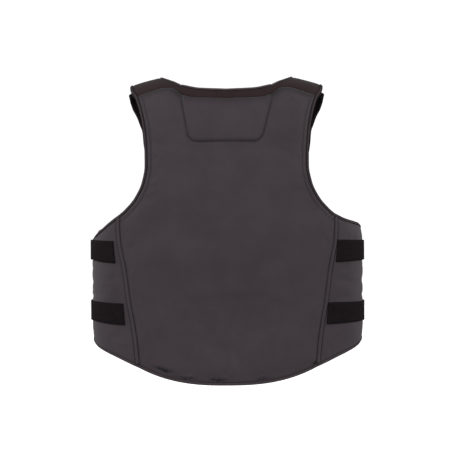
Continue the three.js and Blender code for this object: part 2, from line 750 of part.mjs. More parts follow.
// A tape folded round an edge, four points across its section
function bindingGrid(line) {
  const rings = line.map(({ node, beside }, k) => {
    const before = line[Math.max(k - 1, 0)].node.middle;
    const after = line[Math.min(k + 1, line.length - 1)].node.middle;
    const along = after.clone().sub(before).normalize();
    const away = along.clone().cross(node.normal).normalize();
    if (away.dot(beside.middle.clone().sub(node.middle)) > 0) away.negate();
    const step = after.clone().sub(node.middle).normalize();
    const miter = 1 / Math.max(k === line.length - 1 ? 1 : step.dot(along), MITER_LIMIT);
    const inside = nodeBeside(node, away.clone().multiplyScalar(-BINDING_WIDTH * miter));
    const insideHalf = swell(BOUND_THICKNESS, node.full, BINDING_WIDTH) / 2;
    const point = (from, out, lift) =>
      from.middle.clone().addScaledVector(away, out * miter).addScaledVector(from.normal, lift);
    const wrap = (wall) => [
      point(inside, 0, insideHalf + TAPE_GAP + wall),
      point(node, TAPE_GAP + wall, BOUND_THICKNESS / 2 + TAPE_GAP + wall),
      point(node, TAPE_GAP + wall, -BOUND_THICKNESS / 2 - TAPE_GAP - wall),
      point(inside, 0, -insideHalf - INNER_TAPE_GAP - wall),
    ];
    const outer = wrap(BINDING_WALL);
    const inner = wrap(0);
    return outer.map((corner, i) => ({ outer: corner, inner: inner[i] }));
  });
  trimEnd(rings, 0, 1);
  trimEnd(rings, rings.length - 1, rings.length - 2);
  return rings;
}

// Draws the last ring of a tape back, so that the next tape starts a gap further on
function trimEnd(rings, end, next) {
  const share = TAPE_END_GAP / rings[end][1].outer.distanceTo(rings[next][1].outer);
  rings[end] = rings[end].map((node, k) => ({
    outer: node.outer.clone().lerp(rings[next][k].outer, share),
    inner: node.inner.clone().lerp(rings[next][k].inner, share),
  }));
}

// A flat tape or strap laid on the form between two turns at each height
function tapeGrid({ climbs, turnShares, from, to, low, high }) {
  return turnShares.map((share) => climbs.map((climb) => {
    const turn = lerp(from(climb), to(climb), share);
    return faces(surfaceNode(formPoint, turn, climb), low(turn), high(turn));
  }));
}

const seamLift = swell(SEAM_THICKNESS, PANEL_THICKNESS, WELT_WIDTH / 2) / 2 + TAPE_GAP;
const weltLow = HEM_CORNER + 1.5 * BINDING_WIDTH;
const weltHigh = SEAM_TOP - 2 * BINDING_WIDTH;
const strapEnd = radians(STRAP_END_TURN);
const wingLift = WING_THICKNESS / 2 + STRAP_GAP;
const frontLift = PANEL_THICKNESS / 2 + STRAP_GAP;
const strapLift = (turn) => {
  const past = Math.abs(turn) - radians(STRAP_STEP_TURN);
  return lerp(wingLift, frontLift, smooth(past / radians(STRAP_STEP_RUN)));
};

const parts = {};
for (const [name, side] of [['left', -1], ['right', 1]]) {
  const wing = wingGrid(side);
  const yoke = yokeGrid(side);
  const tab = tabGrid(side);
  parts[name] = { wing, yoke, tab };
  addPiece(`side_wing_${name}`, slab(wing), CLOTH);
  addPiece(`shoulder_yoke_${name}`, slab(yoke), YOKE_CLOTH);
  addPiece(`front_shoulder_${name}`, slab(tab), LOOP);

  const outerSide = side > 0 ? 'end' : 'start';
  const armhole = joinLines(
    reversed(edgeLine(wing, 'high').slice(0, wingJoint + 1)),
    edgeLine(backGrid, outerSide).slice(seamRow),
    edgeLine(yoke, 'end'),
    reversed(edgeLine(yoke, 'high')).slice(0, -1),
  );
  addPiece(`armhole_binding_${name}`, slab(bindingGrid(armhole)), TAPE);

  const frontArmhole = joinLines(
    edgeLine(frontGrid, outerSide).slice(sideJoint),
    edgeLine(tab, 'end'),
    reversed(edgeLine(tab, 'high')).slice(0, -1),
  );
  addPiece(`front_armhole_binding_${name}`, slab(bindingGrid(frontArmhole)), TAPE);

  const seamSide = (offset) => (climb) => side * (seamTurn(climb) + seamStep(climb, offset));
  addPiece(`seam_welt_${name}`, slab(tapeGrid({
    climbs: between(weltLow, weltHigh, evenly(10)),
    turnShares: [0, 0.5, 1],
    from: seamSide(-WELT_WIDTH / 2),
    to: seamSide(WELT_WIDTH / 2),
    low: () => seamLift,
    high: () => seamLift + WELT_THICKNESS,
  })), TAPE);

  for (const [place, level] of [['upper', UPPER_STRAP], ['lower', LOWER_STRAP]]) {
    addPiece(`strap_${place}_${name}`, slab(tapeGrid({
      climbs: between(-level - STRAP_WIDTH / 2, -level + STRAP_WIDTH / 2, [0, 0.5, 1]),
      turnShares: evenly(14),
      from: seamSide(WELT_WIDTH / 2 + STRAP_SETBACK[name]),
      to: () => side * strapEnd,
      low: strapLift,
      high: (turn) => strapLift(turn) + STRAP_THICKNESS,
    })), LOOP);
  }
}

const { left, right } = parts;
const cornerNode = yokeRows.indexOf(neckCorner);
addPiece('neck_binding', slab(bindingGrid(joinLines(
  reversed(edgeLine(left.yoke, 'start').slice(cornerNode)),
  edgeLine(bandGrid, 'high'),
  edgeLine(right.yoke, 'start').slice(cornerNode),
))), TAPE);
addPiece('hem_binding', slab(bindingGrid(joinLines(
  edgeLine(left.wing, 'high').slice(wingJoint),
  reversed(edgeLine(left.wing, 'end')),
  reversed(edgeLine(left.wing, 'low')),
  edgeLine(backGrid, 'low'),
  edgeLine(right.wing, 'low'),
  edgeLine(right.wing, 'end'),
  reversed(edgeLine(right.wing, 'high').slice(wingJoint)),
))), TAPE);
addPiece('front_neck_binding', slab(bindingGrid(joinLines(
  reversed(edgeLine(left.tab, 'start')),
  edgeLine(frontGrid, 'high').slice(frontTop, neckColumn + 1),
  edgeLine(right.tab, 'start'),
))), TAPE);
addPiece('front_hem_binding', slab(bindingGrid(joinLines(
  reversed(edgeLine(frontGrid, 'start').slice(0, sideJoint + 1)),
  edgeLine(frontGrid, 'low'),
  edgeLine(frontGrid, 'end').slice(0, sideJoint + 1),
))), TAPE);

export default body;
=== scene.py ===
"""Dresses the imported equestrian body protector: padded sheets, bindings, welts, straps and stitching.

Sizes are in millimetres in the frame's own axes: +Z up, the back faces -Y, the wearer's left is -X.
"""
import logging
import math
from dataclasses import dataclass, field, replace
from enum import Enum
from typing import Any, Callable, Sequence

import bmesh
import bpy
import numpy as np
from mathutils import Matrix, Vector, noise


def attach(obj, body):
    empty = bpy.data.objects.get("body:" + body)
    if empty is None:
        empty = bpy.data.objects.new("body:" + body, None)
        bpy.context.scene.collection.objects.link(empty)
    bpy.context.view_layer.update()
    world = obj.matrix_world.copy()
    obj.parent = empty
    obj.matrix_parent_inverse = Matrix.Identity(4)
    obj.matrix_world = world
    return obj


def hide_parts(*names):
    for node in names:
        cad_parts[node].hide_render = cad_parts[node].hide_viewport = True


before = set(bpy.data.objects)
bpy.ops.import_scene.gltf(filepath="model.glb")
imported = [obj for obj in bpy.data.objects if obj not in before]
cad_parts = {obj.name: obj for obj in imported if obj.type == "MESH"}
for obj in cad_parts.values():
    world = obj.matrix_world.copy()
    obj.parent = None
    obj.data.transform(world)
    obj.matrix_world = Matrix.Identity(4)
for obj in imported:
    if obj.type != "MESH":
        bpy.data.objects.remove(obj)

LOG = logging.getLogger("body_protector")
Array = np.ndarray
Place = Callable[[Array, Array], tuple[Array, Array]]
# A dent gives a depth and the painted shade at each point of a sheet
Dent = Callable[[Array, Array], tuple[Array, Array]]
MM = 0.001


class Side(Enum):
    """Wearer's side, with the sign of its X."""

    LEFT = -1
    RIGHT = 1

    @property
    def label(self) -> str:
        """The side's name as the frame's nodes spell it."""
        return self.name.lower()


class Rim(Enum):
    """One edge of a sheet, by the share that is constant along it."""

    START = "start"
    END = "end"
    LOW = "low"
    HIGH = "high"


class Hem(Enum):
    """How an edge is finished."""

    BOUND = "bound"
    NARROW = "narrow"
    SEWN = "sewn"
    CAPPED = "capped"
    WELTED = "welted"
    TOPSTITCHED = "topstitched"


def lerp(start: Any, end: Any, share: Any) -> Any:
    """Value a share of the way from start to end."""
    return start + (end - start) * share


def smooth(value: Any) -> Any:
    """Share eased in and out, clamped to 0 and 1."""
    share = np.clip(value, 0.0, 1.0)
    return share * share * (3.0 - 2.0 * share)


def unit(vectors: Array) -> Array:
    """Vectors scaled to a length of one."""
    return vectors / np.maximum(np.linalg.norm(vectors, axis=-1, keepdims=True), 1e-12)


def bell(offset: Array, width: float) -> Array:
    """Bell curve that is one at no offset and falls off over a width."""
    return np.exp(-((offset / width) ** 2))


def quarter_round(share: Array) -> Array:
    """Share that rises along a quarter circle, steep at first and level at the end."""
    return np.sqrt(1 - (1 - share) ** 2)


def soft_least(parts: Sequence[Array], sharpness: float = 2.0) -> Array:
    """Least of several values at each point, with the corners between them rounded."""
    return -np.log(sum(np.exp(-sharpness * part) for part in parts)) / sharpness


def run_along(points: Array) -> Array:
    """Length along a line of points, from its start to each of them."""
    return np.concatenate([[0.0], np.cumsum(np.linalg.norm(np.diff(points, axis=0), axis=1))])


def steady(value: float) -> Callable[[Array], Array]:
    """Makes a thickness that is the same at every climb."""
    return lambda climb: np.full(np.shape(climb), value)


def oval_reach(angle: Array, power: float) -> Array:
    """Reach of an oval with rounded flanks, as a share of its half axes."""
    return (np.abs(np.sin(angle)) ** power + np.abs(np.cos(angle)) ** power) ** (-1.0 / power)


def round_end(to_end: Array, radius: float) -> Array:
    """Distance that an edge draws back near its end, along a quarter circle's corner.

    Args:
        to_end: Distances to the end.
        radius: Radius of the corner.

    Returns:
        How far the edge draws back at each distance.
    """
    depth = radius - np.clip(to_end, 0.0, radius)
    return radius - np.sqrt(radius**2 - depth**2)


def curve_through(*rows: tuple[float, float]) -> Callable[[Any], Array]:
    """Makes a smooth curve through (key, value) rows that never overshoots them.

    Args:
        rows: The rows, in rising order of key.

    Returns:
        A function that reads the curve at any keys.
    """
    keys, values = np.array(rows, dtype=float).T
    step = np.diff(values) / np.diff(keys)
    slope = np.concatenate([step[:1], np.zeros(len(keys) - 2), step[-1:]])
    same = step[:-1] * step[1:] > 0
    slope[1:-1][same] = 2.0 * (step[:-1] * step[1:])[same] / (step[:-1] + step[1:])[same]

    def read(at: Any) -> Array:
        """Values of the curve at these keys."""
        where = np.clip(at, keys[0], keys[-1])
        i = np.clip(np.searchsorted(keys, where) - 1, 0, len(keys) - 2)
        span = keys[i + 1] - keys[i]
        share = (where - keys[i]) / span
        rise = values[i + 1] - values[i]
        into, out = slope[i] * span - rise, slope[i + 1] * span - rise
        return values[i] + rise * share + share * (1 - share) * ((1 - share) * into - share * out)

    return read


@dataclass(frozen=True)
class TorsoForm:
    """Middle layer of the whole protector.

    Turn goes round the torso. Climb goes up it and over the shoulder.
    """

    back_length: float = 519.0
    half_width: float = 234.5
    back_depth: float = 95.0
    front_depth: float = 101.0
    girth_power: float = 2.4
    shoulder_fall: float = 27.0
    shoulder_power: float = 1.37
    rest_spread: float = 140.0
    arch_power: float = 2.2
    arch_radius: float = 105.0
    arch_foot: float = 109.0
    yoke_half: float = 6.0
    normal_run: float = 5.0
    width_curve: Callable[[Any], Array] = curve_through(
        (0.21, 0.917), (0.36, 0.965), (0.55, 1.0), (0.78, 1.0), (1.0, 1.0)
    )
    back_curve: Callable[[Any], Array] = curve_through(
        (0.21, 0.956), (0.36, 1.0), (0.55, 0.967), (0.78, 0.846), (1.0, 0.868)
    )
    front_curve: Callable[[Any], Array] = curve_through(
        (0.21, 0.946), (0.36, 1.0), (0.55, 1.0), (0.78, 0.967), (1.0, 0.946)
    )

    def level(self, climb: Array) -> Array:
        """Share of the back's length down to a climb, held at the foot of the shoulder arch."""
        return np.maximum(-np.asarray(climb), self.arch_foot) / self.back_length

    def half_at(self, climb: Array) -> Array:
        """Half width of the form at a climb."""
        return self.half_width * self.width_curve(self.level(climb))

    def shoulder_line(self, x: Array) -> Array:
        """Height of the form's crest at a distance from the middle."""
        spread = np.abs(x) / self.rest_spread
        return self.yoke_half + self.shoulder_fall * (1 - spread**self.shoulder_power)

    def climb_of_lean(self, lean: float) -> float:
        """Climb at a lean over the shoulder arch, in degrees."""
        return self.arch_radius * math.radians(lean) - self.arch_foot

    def turn_at(self, x: Array, climb: Array) -> Array:
        """Turn at which the form is x from the middle."""
        share = np.minimum(np.abs(x) / self.half_at(climb), 1.0)
        return np.sign(x) * np.arctan2(share, (1 - share**self.girth_power) ** (1 / self.girth_power))

    def climb_at(self, x: Array, z: Array) -> Array:
        """Climb at which the form reaches height z."""
        share = np.clip((z + self.arch_foot) / (self.shoulder_line(x) + self.arch_foot), 0.0, 1.0)
        lean = np.arctan2(share, (1 - share**self.arch_power) ** (1 / self.arch_power))
        return np.where(z <= -self.arch_foot, z, self.arch_radius * lean - self.arch_foot)

    def point(self, turn: Array, climb: Array) -> Array:
        """Points of the middle layer, one row of x, y, z for each turn and climb."""
        turn, climb = np.broadcast_arrays(np.asarray(turn, float), np.asarray(climb, float))
        reach = oval_reach(turn, self.girth_power)
        lean = np.maximum(climb + self.arch_foot, 0.0) / self.arch_radius
        arch = oval_reach(lean, self.arch_power)
        facing = np.cos(turn) * np.cos(lean)
        level = self.level(climb)
        back = self.back_depth * self.back_curve(level)
        front = self.front_depth * self.front_curve(level)
        x = self.half_at(climb) * np.sin(turn) * reach
        y = -np.where(facing > 0, back, front) * facing * reach * arch
        top = self.shoulder_line(x) + self.arch_foot
        z = np.where(lean > 0, top * np.sin(lean) * arch - self.arch_foot, climb)
        return np.stack([x, y, z], axis=-1)

    def outward(self, turn: Array, climb: Array) -> Array:
        """Unit vectors out of the torso, averaged over a short run up the form."""
        step = 1e-4
        across = self.point(turn + step, climb) - self.point(turn - step, climb)
        along = self.point(turn, climb + self.normal_run) - self.point(turn, climb - self.normal_run)
        normal = unit(np.cross(across, along))
        here = self.point(turn, climb)
        centre = np.zeros_like(here)
        centre[..., 2] = np.minimum(here[..., 2], -self.arch_foot)
        inwards = np.sum(normal * (here - centre), axis=-1, keepdims=True) < 0
        return np.where(inwards, -normal, normal)


FORM = TorsoForm()


@dataclass(frozen=True)
class FrontForm(TorsoForm):
    """The form of the front, tucked under the yokes' flaps and leaning a little to one side."""

    seam: float = -100.0
    tuck_end: float = -64.0
    tuck: float = 10.4
    lean: float = 6.0

    def tuck_share(self, climb: Array) -> Array:
        """Share of the tuck at a climb."""
        return smooth((climb - self.seam) / (self.tuck_end - self.seam))

    def point(self, turn: Array, climb: Array) -> Array:
        """Points of the front's middle layer."""
        tucked = (self.tuck * self.tuck_share(climb))[..., None]
        point = FORM.point(turn, climb) - FORM.outward(turn, climb) * tucked
        below_seam = smooth((self.seam - climb) / -self.seam)
        point[..., 2] += self.lean * point[..., 0] / self.half_width * below_seam
        return point


FRONT_FORM = FrontForm()


@dataclass(frozen=True)
class Padding:
    """Thicknesses of the padding and of its edges."""

    panel: float = 18.0
    wing: float = 15.0
    yoke: float = 12.0
    tab: float = 7.6
    sewn_edge: float = 7.0
    bound_edge: float = 7.0
    tape_width: float = 4.2
    narrow_tape: float = 3.6
    tape_wall: float = 1.2
    crest: float = 26.0
    tape_swell: float = 0.45
    seam_run: float = 11.0
    groove_depth: float = 0.7
    groove_width: float = 1.0
    second_row: float = 7.0
    ridge: float = 0.6
    ridge_width: float = 2.2
    welt_width: float = 5.0
    welt_groove: float = 1.7


PADDING = Padding()


@dataclass(frozen=True)
class HemLine:
    """Line that a finish draws on the cloth, at a distance from the edge: a groove darkened with painted
    shade.
    """

    at: float
    width: float
    depth: float
    # How dark the painted shade along the line is
    dark: float


HEM_LINES = {
    Hem.BOUND: HemLine(PADDING.tape_width + 0.9, PADDING.groove_width, PADDING.groove_depth, 0.6),
    Hem.NARROW: HemLine(PADDING.narrow_tape + 0.9, PADDING.groove_width, PADDING.groove_depth, 0.6),
    Hem.TOPSTITCHED: HemLine(PADDING.tape_width + 0.8, 1.25, PADDING.groove_depth, 1.0),
    Hem.WELTED: HemLine(PADDING.welt_width / 2 + 1.0, PADDING.groove_width, PADDING.welt_groove, 0.5),
    Hem.SEWN: HemLine(0.2, 1.3, 0.0, 0.35),
    # A capped edge has no groove, only a wide band of painted shade on the panel under the yokes and the neck
    # band
    Hem.CAPPED: HemLine(0.0, 9.0, 0.0, 0.85),
}


def bound_swell(full: Array, distance: Array) -> Array:
    """Thickness near a taped edge: straight under the tape, then rounding over to the full padding.

    Args:
        full: Full thickness of the padding.
        distance: Distance from the edge.

    Returns:
        Thickness at that distance.
    """
    pad = PADDING
    under = lerp(pad.bound_edge, full, pad.tape_swell * distance / pad.tape_width)
    crest = np.clip((distance - pad.tape_width) / (pad.crest - pad.tape_width), 0.0, 1.0)
    over = lerp(pad.bound_edge, full, lerp(pad.tape_swell, 1.0, 1 - (1 - crest) ** 2))
    return np.where(distance < pad.tape_width, under, over)


def sewn_swell(full: Array, distance: Array) -> Array:
    """Thickness near a seam: drawn in by the thread, then soon full."""
    run = np.clip(distance / PADDING.seam_run, 0.0, 1.0)
    return lerp(np.minimum(PADDING.sewn_edge, full), full, quarter_round(run))


@dataclass(frozen=True)
class Border:
    """A stretch of one edge of a sheet and the way it is finished."""

    rim: Rim
    hem: Hem
    since: float = 0.0
    until: float = 1.0


@dataclass(frozen=True)
class EdgeLine:
    """Points along an edge, with the sheet's normal and padding there."""

    middle: Array
    normal: Array
    full: Array

    def turned(self) -> "EdgeLine":
        """The same line run the other way."""
        return EdgeLine(self.middle[::-1], self.normal[::-1], self.full[::-1])

    @staticmethod
    def joined(*lines: "EdgeLine") -> "EdgeLine":
        """One line from several whose ends meet."""
        return EdgeLine(
            np.concatenate([line.middle for line in lines]),
            np.concatenate([line.normal for line in lines]),
            np.concatenate([line.full for line in lines]),
        )

    def evenly(self, step: float) -> "EdgeLine":
        """The line with its points an even step apart."""
        gaps = np.linalg.norm(np.diff(self.middle, axis=0), axis=1)
        keep = np.concatenate([[True], gaps > 1e-6])
        middle, normal, full = self.middle[keep], self.normal[keep], self.full[keep]
        length = run_along(middle)
        count = max(int(round(length[-1] / step)), 2)
        at = np.linspace(0.0, length[-1], count + 1)

        def resampled(values: Array) -> Array:
            """Rows read at the even steps."""
            return np.stack([np.interp(at, length, column) for column in values.T], axis=-1)

        return EdgeLine(resampled(middle), unit(resampled(normal)), np.interp(at, length, full))


def eased(values: Array, passes: int) -> Array:
    """Rows averaged with their neighbours this many times, with the end rows kept."""
    result = values.copy()
    for _ in range(passes):
        result[1:-1] = (result[:-2] + 2 * result[1:-1] + result[2:]) / 4
    return result


def distance_to(points: Array, line: Array) -> Array:
    """Distance from each point to a line of points.

    Args:
        points: Rows of x, y, z.
        line: Rows of x, y, z along the line.

    Returns:
        One distance for each point.
    """
    best = np.full(len(points), np.inf)
    for start, end in zip(line[:-1], line[1:]):
        run = end - start
        share = np.clip((points - start) @ run / max(run @ run, 1e-12), 0.0, 1.0)
        best = np.minimum(best, np.linalg.norm(points - start - share[:, None] * run, axis=1))
    return best


def stations(size: float, middle_step: float, edge_step: float = 1.3, edge_run: float = 15.0) -> Array:
    """Shares across a size, close together near both ends and wider apart in the middle.

    Args:
        size: The real size.
        middle_step: Step in the middle.
        edge_step: Step near the ends.
        edge_run: Length that is stepped finely at each end.

    Returns:
        Rising shares from 0 to 1.
    """
    run = min(edge_run, size / 2.5)
    fine = np.linspace(0.0, run, max(int(run / edge_step), 2) + 1)
    wide = np.linspace(run, size - run, max(int((size - 2 * run) / middle_step), 2) + 1)
    return np.concatenate([fine, wide[1:-1], size - fine[::-1]]) / size


def soft_noise(points: Array, wavelength: float, seed: float) -> Array:
    """Smooth seeded noise between -1 and 1 at points in millimetres."""
    shift = Vector((seed, 2.7 * seed, -1.3 * seed))
    return np.array([noise.noise(Vector(point) / wavelength + shift) for point in points])


def grid_piece(points: Array, flat: Array, painted_shade: Array | None = None) -> bmesh.types.BMesh:
    """Makes a grid, moves each of its points to its place and lays its UV map out flat.

    Args:
        points: Table of positions in millimetres, by column and row.
        flat: Table of flat-pattern coordinates in metres, by column and row.
        painted_shade: Table of painted shade at each point, from 0 to 1, by column and row, kept as an
            attribute that darkens the shaded finishes.

    Returns:
        The open grid.
    """
    columns, rows = points.shape[:2]
    bm = bmesh.new()
    layer = bm.loops.layers.uv.new("flat_pattern")
    shade = bm.verts.layers.float.new("painted_shade")
    bmesh.ops.create_grid(bm, x_segments=columns - 1, y_segments=rows - 1, size=0.5, calc_uvs=False)
    bm.verts.ensure_lookup_table()
    across = np.rint([(vert.co.x + 0.5) * (columns - 1) for vert in bm.verts]).astype(int)
    along = np.rint([(vert.co.y + 0.5) * (rows - 1) for vert in bm.verts]).astype(int)
    for vert, spot in zip(bm.verts, points[across, along] * MM):
        vert.co = spot
    if painted_shade is not None:
        for vert, depth in zip(bm.verts, painted_shade[across, along]):
            vert[shade] = depth
    for face in bm.faces:
        face.smooth = True
        for loop in face.loops:
            number = loop.vert.index
            loop[layer].uv = flat[across[number], along[number]]
    return bm


def finish_piece(
    name: str,
    bm: bmesh.types.BMesh,
    finish: "Finish",
    nodes: Sequence[str] = (),
) -> bpy.types.Object:
    """Turns a bmesh into a piece of the object that rides on the frame.

    Args:
        name: Name of the piece.
        bm: Its shape, which is freed.
        finish: Its finish, whose material it takes.
        nodes: CAD nodes that it stands for.

    Returns:
        The new object.
    """
    mesh = bpy.data.meshes.new(name)
    bm.to_mesh(mesh)
    bm.free()
    mesh.materials.append(finish.material())
    piece = bpy.data.objects.new(name, mesh)
    bpy.context.scene.collection.objects.link(piece)
    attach(piece, "root")
    if nodes:
        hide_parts(*nodes)
    LOG.info("%s: %d faces", name, len(mesh.polygons))
    return piece


def linear(code: str) -> tuple[float, float, float, float]:
    """Linear colour of an sRGB hex code."""
    channels = [int(code[i : i + 2], 16) / 255 for i in (0, 2, 4)]
    return (*[c / 12.92 if c <= 0.04045 else ((c + 0.055) / 1.055) ** 2.4 for c in channels], 1.0)


def add_node(
    tree: bpy.types.NodeTree,
    kind: str,
    settings: dict[str, Any] | None = None,
    links: dict[str, Any] | None = None,
) -> bpy.types.Node:
    """Adds a node with its settings and links.

    Args:
        tree: Tree that gets the node.
        kind: The node's type.
        settings: Values by property name, or by input name or number.
        links: Output sockets by input name or number.

    Returns:
        The new node.
    """
    node = tree.nodes.new(kind)
    for key, value in (settings or {}).items():
        if isinstance(key, str) and hasattr(node, key):
            setattr(node, key, value)
        else:
            node.inputs[key].default_value = value
    for key, socket in (links or {}).items():
        tree.links.new(socket, node.inputs[key])
    return node


@dataclass(frozen=True)
class Finish:
    """A woven finish: two close thread colours, its ribs and its dull shine, with painted shade where it is
    shaded.
    """

    name: str
    slot: str
    shade: str
    light_shade: str
    rough: float = 0.82
    sheen: float = 0.1
    specular: float = 0.16
    weave_across: float = 1.7
    weave_along: float = 1.7
    weave_depth: float = 0.12
    mottle: float = 42.0
    fuzz: float = 2.6
    # Whether the mesh's painted shade darkens the colour, and how dark that painted shade goes, as a share of
    # the colour
    shaded: bool = False
    crease_shade: float = 0.12

    def material(self) -> bpy.types.Material:
        """The material, made the first time it is asked for."""
        known = bpy.data.materials.get(self.name)
        if known:
            return known
        made = bpy.data.materials.new(self.name)
        made.use_nodes = True
        self.wire(made.node_tree)
        return made

    def wire(self, tree: bpy.types.NodeTree) -> None:
        """Builds the nodes of the finish.

        Args:
            tree: The material's node tree.
        """
        shader = tree.nodes["Principled BSDF"]
        shader.inputs["Metallic"].default_value = 0.0
        shader.inputs["Specular IOR Level"].default_value = self.specular
        shader.inputs["Sheen Weight"].default_value = self.sheen
        shader.inputs["Sheen Roughness"].default_value = 0.55
        where = add_node(tree, "ShaderNodeTexCoord")
        patches = add_node(
            tree,
            "ShaderNodeTexNoise",
            {"Scale": 1000.0 / self.mottle, "Detail": 4.0, "Roughness": 0.6},
            {"Vector": where.outputs["Object"]},
        )
        fuzz = add_node(
            tree,
            "ShaderNodeTexNoise",
            {"Scale": 1000.0 / self.fuzz, "Detail": 2.0, "Roughness": 0.7},
            {"Vector": where.outputs["Object"]},
        )
        threads = [
            add_node(
                tree,
                "ShaderNodeTexWave",
                {
                    "wave_type": "BANDS",
                    "bands_direction": direction,
                    "wave_profile": "SIN",
                    "Scale": 1000.0 * math.pi / (10.0 * pitch),
                    "Distortion": 0.0,
                },
                {"Vector": where.outputs["UV"]},
            )
            for direction, pitch in (("X", self.weave_across), ("Y", self.weave_along))
        ]
        weave = add_node(
            tree,
            "ShaderNodeMath",
            {"operation": "MULTIPLY"},
            {0: threads[0].outputs["Fac"], 1: threads[1].outputs["Fac"]},
        )
        relief = add_node(
            tree,
            "ShaderNodeMath",
            {"operation": "MULTIPLY_ADD", 1: 0.5},
            {0: fuzz.outputs["Fac"], 2: weave.outputs[0]},
        )
        bump = add_node(
            tree,
            "ShaderNodeBump",
            {"Strength": 1.0, "Distance": self.weave_depth * MM},
            {"Height": relief.outputs[0]},
        )
        blend = add_node(
            tree,
            "ShaderNodeMath",
            {"operation": "MULTIPLY_ADD", "use_clamp": True, 1: 0.35},
            {0: relief.outputs[0], 2: patches.outputs["Fac"]},
        )
        ramp = add_node(tree, "ShaderNodeMapRange", {1: 0.45, 2: 0.95}, {0: blend.outputs[0]})
        colour = add_node(
            tree,
            "ShaderNodeMix",
            {"data_type": "RGBA", 6: linear(self.shade), 7: linear(self.light_shade)},
            {0: ramp.outputs[0]},
        )
        rough = add_node(
            tree,
            "ShaderNodeMapRange",
            {1: 0.0, 2: 1.0, 3: self.rough - 0.08, 4: self.rough + 0.08},
            {0: fuzz.outputs["Fac"]},
        )
        shade = colour.outputs[2]
        # Painted shade: the mesh's shade attribute mixes the colour towards a darker copy of itself
        if self.shaded:
            painted_shade = add_node(tree, "ShaderNodeAttribute", {"attribute_name": "painted_shade"})
            dark = tuple(self.crease_shade * channel for channel in linear(self.shade)[:3]) + (1.0,)
            shade = add_node(
                tree, "ShaderNodeMix", {"data_type": "RGBA", 7: dark}, {0: painted_shade.outputs["Fac"], 6: shade}
            ).outputs[2]
        tree.links.new(shade, shader.inputs["Base Color"])
        tree.links.new(rough.outputs[0], shader.inputs["Roughness"])
        tree.links.new(bump.outputs[0], shader.inputs["Normal"])


# Dull woven polyester over foam: a dry, slightly warm near-black with the faintest mottle; painted shade
# darkens it along its grooves and folds and under the yokes and the neck band
PANEL_CLOTH = Finish("woven_polyester_shell", "panel_cloth", "312A2E", "383135", shaded=True)
# The yokes' cloth is the same weave in a browner black, also worn by the neck band; it is darker than the
# panel's partly as painted shade, for yokes that face up away from the lamps and a band that lies in shade
# below the neckline
SHADED_YOKE_CLOTH = Finish(
    "woven_polyester_yoke_painted_shade", "yoke_cloth", "231819", "2A1E1F", sheen=0.05, specular=0.1, shaded=True
)
# Folded binding tape: a closer weave, a little smoother, so its round edge catches the light; painted shade
# darkens its edges and its rim, leaving a light line along its face
BINDING_TAPE = Finish(
    "woven_binding_tape",
    "binding_tape",
    "372D31",
    "41363A",
    rough=0.8,
    sheen=0.0,
    specular=0.08,
    weave_across=1.2,
    weave_along=2.4,
    mottle=20.0,
    shaded=True,
)
# The tape of the hem and the neckline is a lighter copy of the binding tape: a painted highlight for the
# light that these narrow round edges catch
HIGHLIGHT_TAPE = replace(
    BINDING_TAPE, name="woven_tape_painted_highlight", shade="4E4246", light_shade="594D51", specular=0.16
)
# The front is bound in a blacker tape, as the photographed sliver of its shoulder shows
FRONT_TAPE = replace(
    BINDING_TAPE, name="woven_black_tape", shade="201A1C", light_shade="292124", specular=0.06
)
# The welt over a side seam is cut from the panel's own cloth
WELT_CLOTH = replace(PANEL_CLOTH, name="woven_polyester_welt", slot="binding_tape", shaded=False)
# Looped side of hook-and-loop elastic: ribbed in rows, matt and nearly black
STRAP_LOOP = Finish(
    "ribbed_loop_elastic",
    "strap_loop",
    "130F11",
    "1A1517",
    rough=0.95,
    sheen=0.0,
    specular=0.06,
    weave_across=1.9,
    weave_along=2.6,
    weave_depth=0.5,
    mottle=12.0,
)
# Front shoulders are faced with loop pile, on which the yokes' flaps fasten
TAB_LOOP = replace(
    STRAP_LOOP,
    name="loop_pile_facing",
    shade="1B1618",
    light_shade="231D1F",
    weave_across=1.1,
    weave_along=1.1,
    weave_depth=0.3,
)
# Polyester sewing thread in the cloth's own colour
THREAD = Finish("polyester_thread", "binding_tape", "140F11", "1B1517", rough=0.7, mottle=9.0)


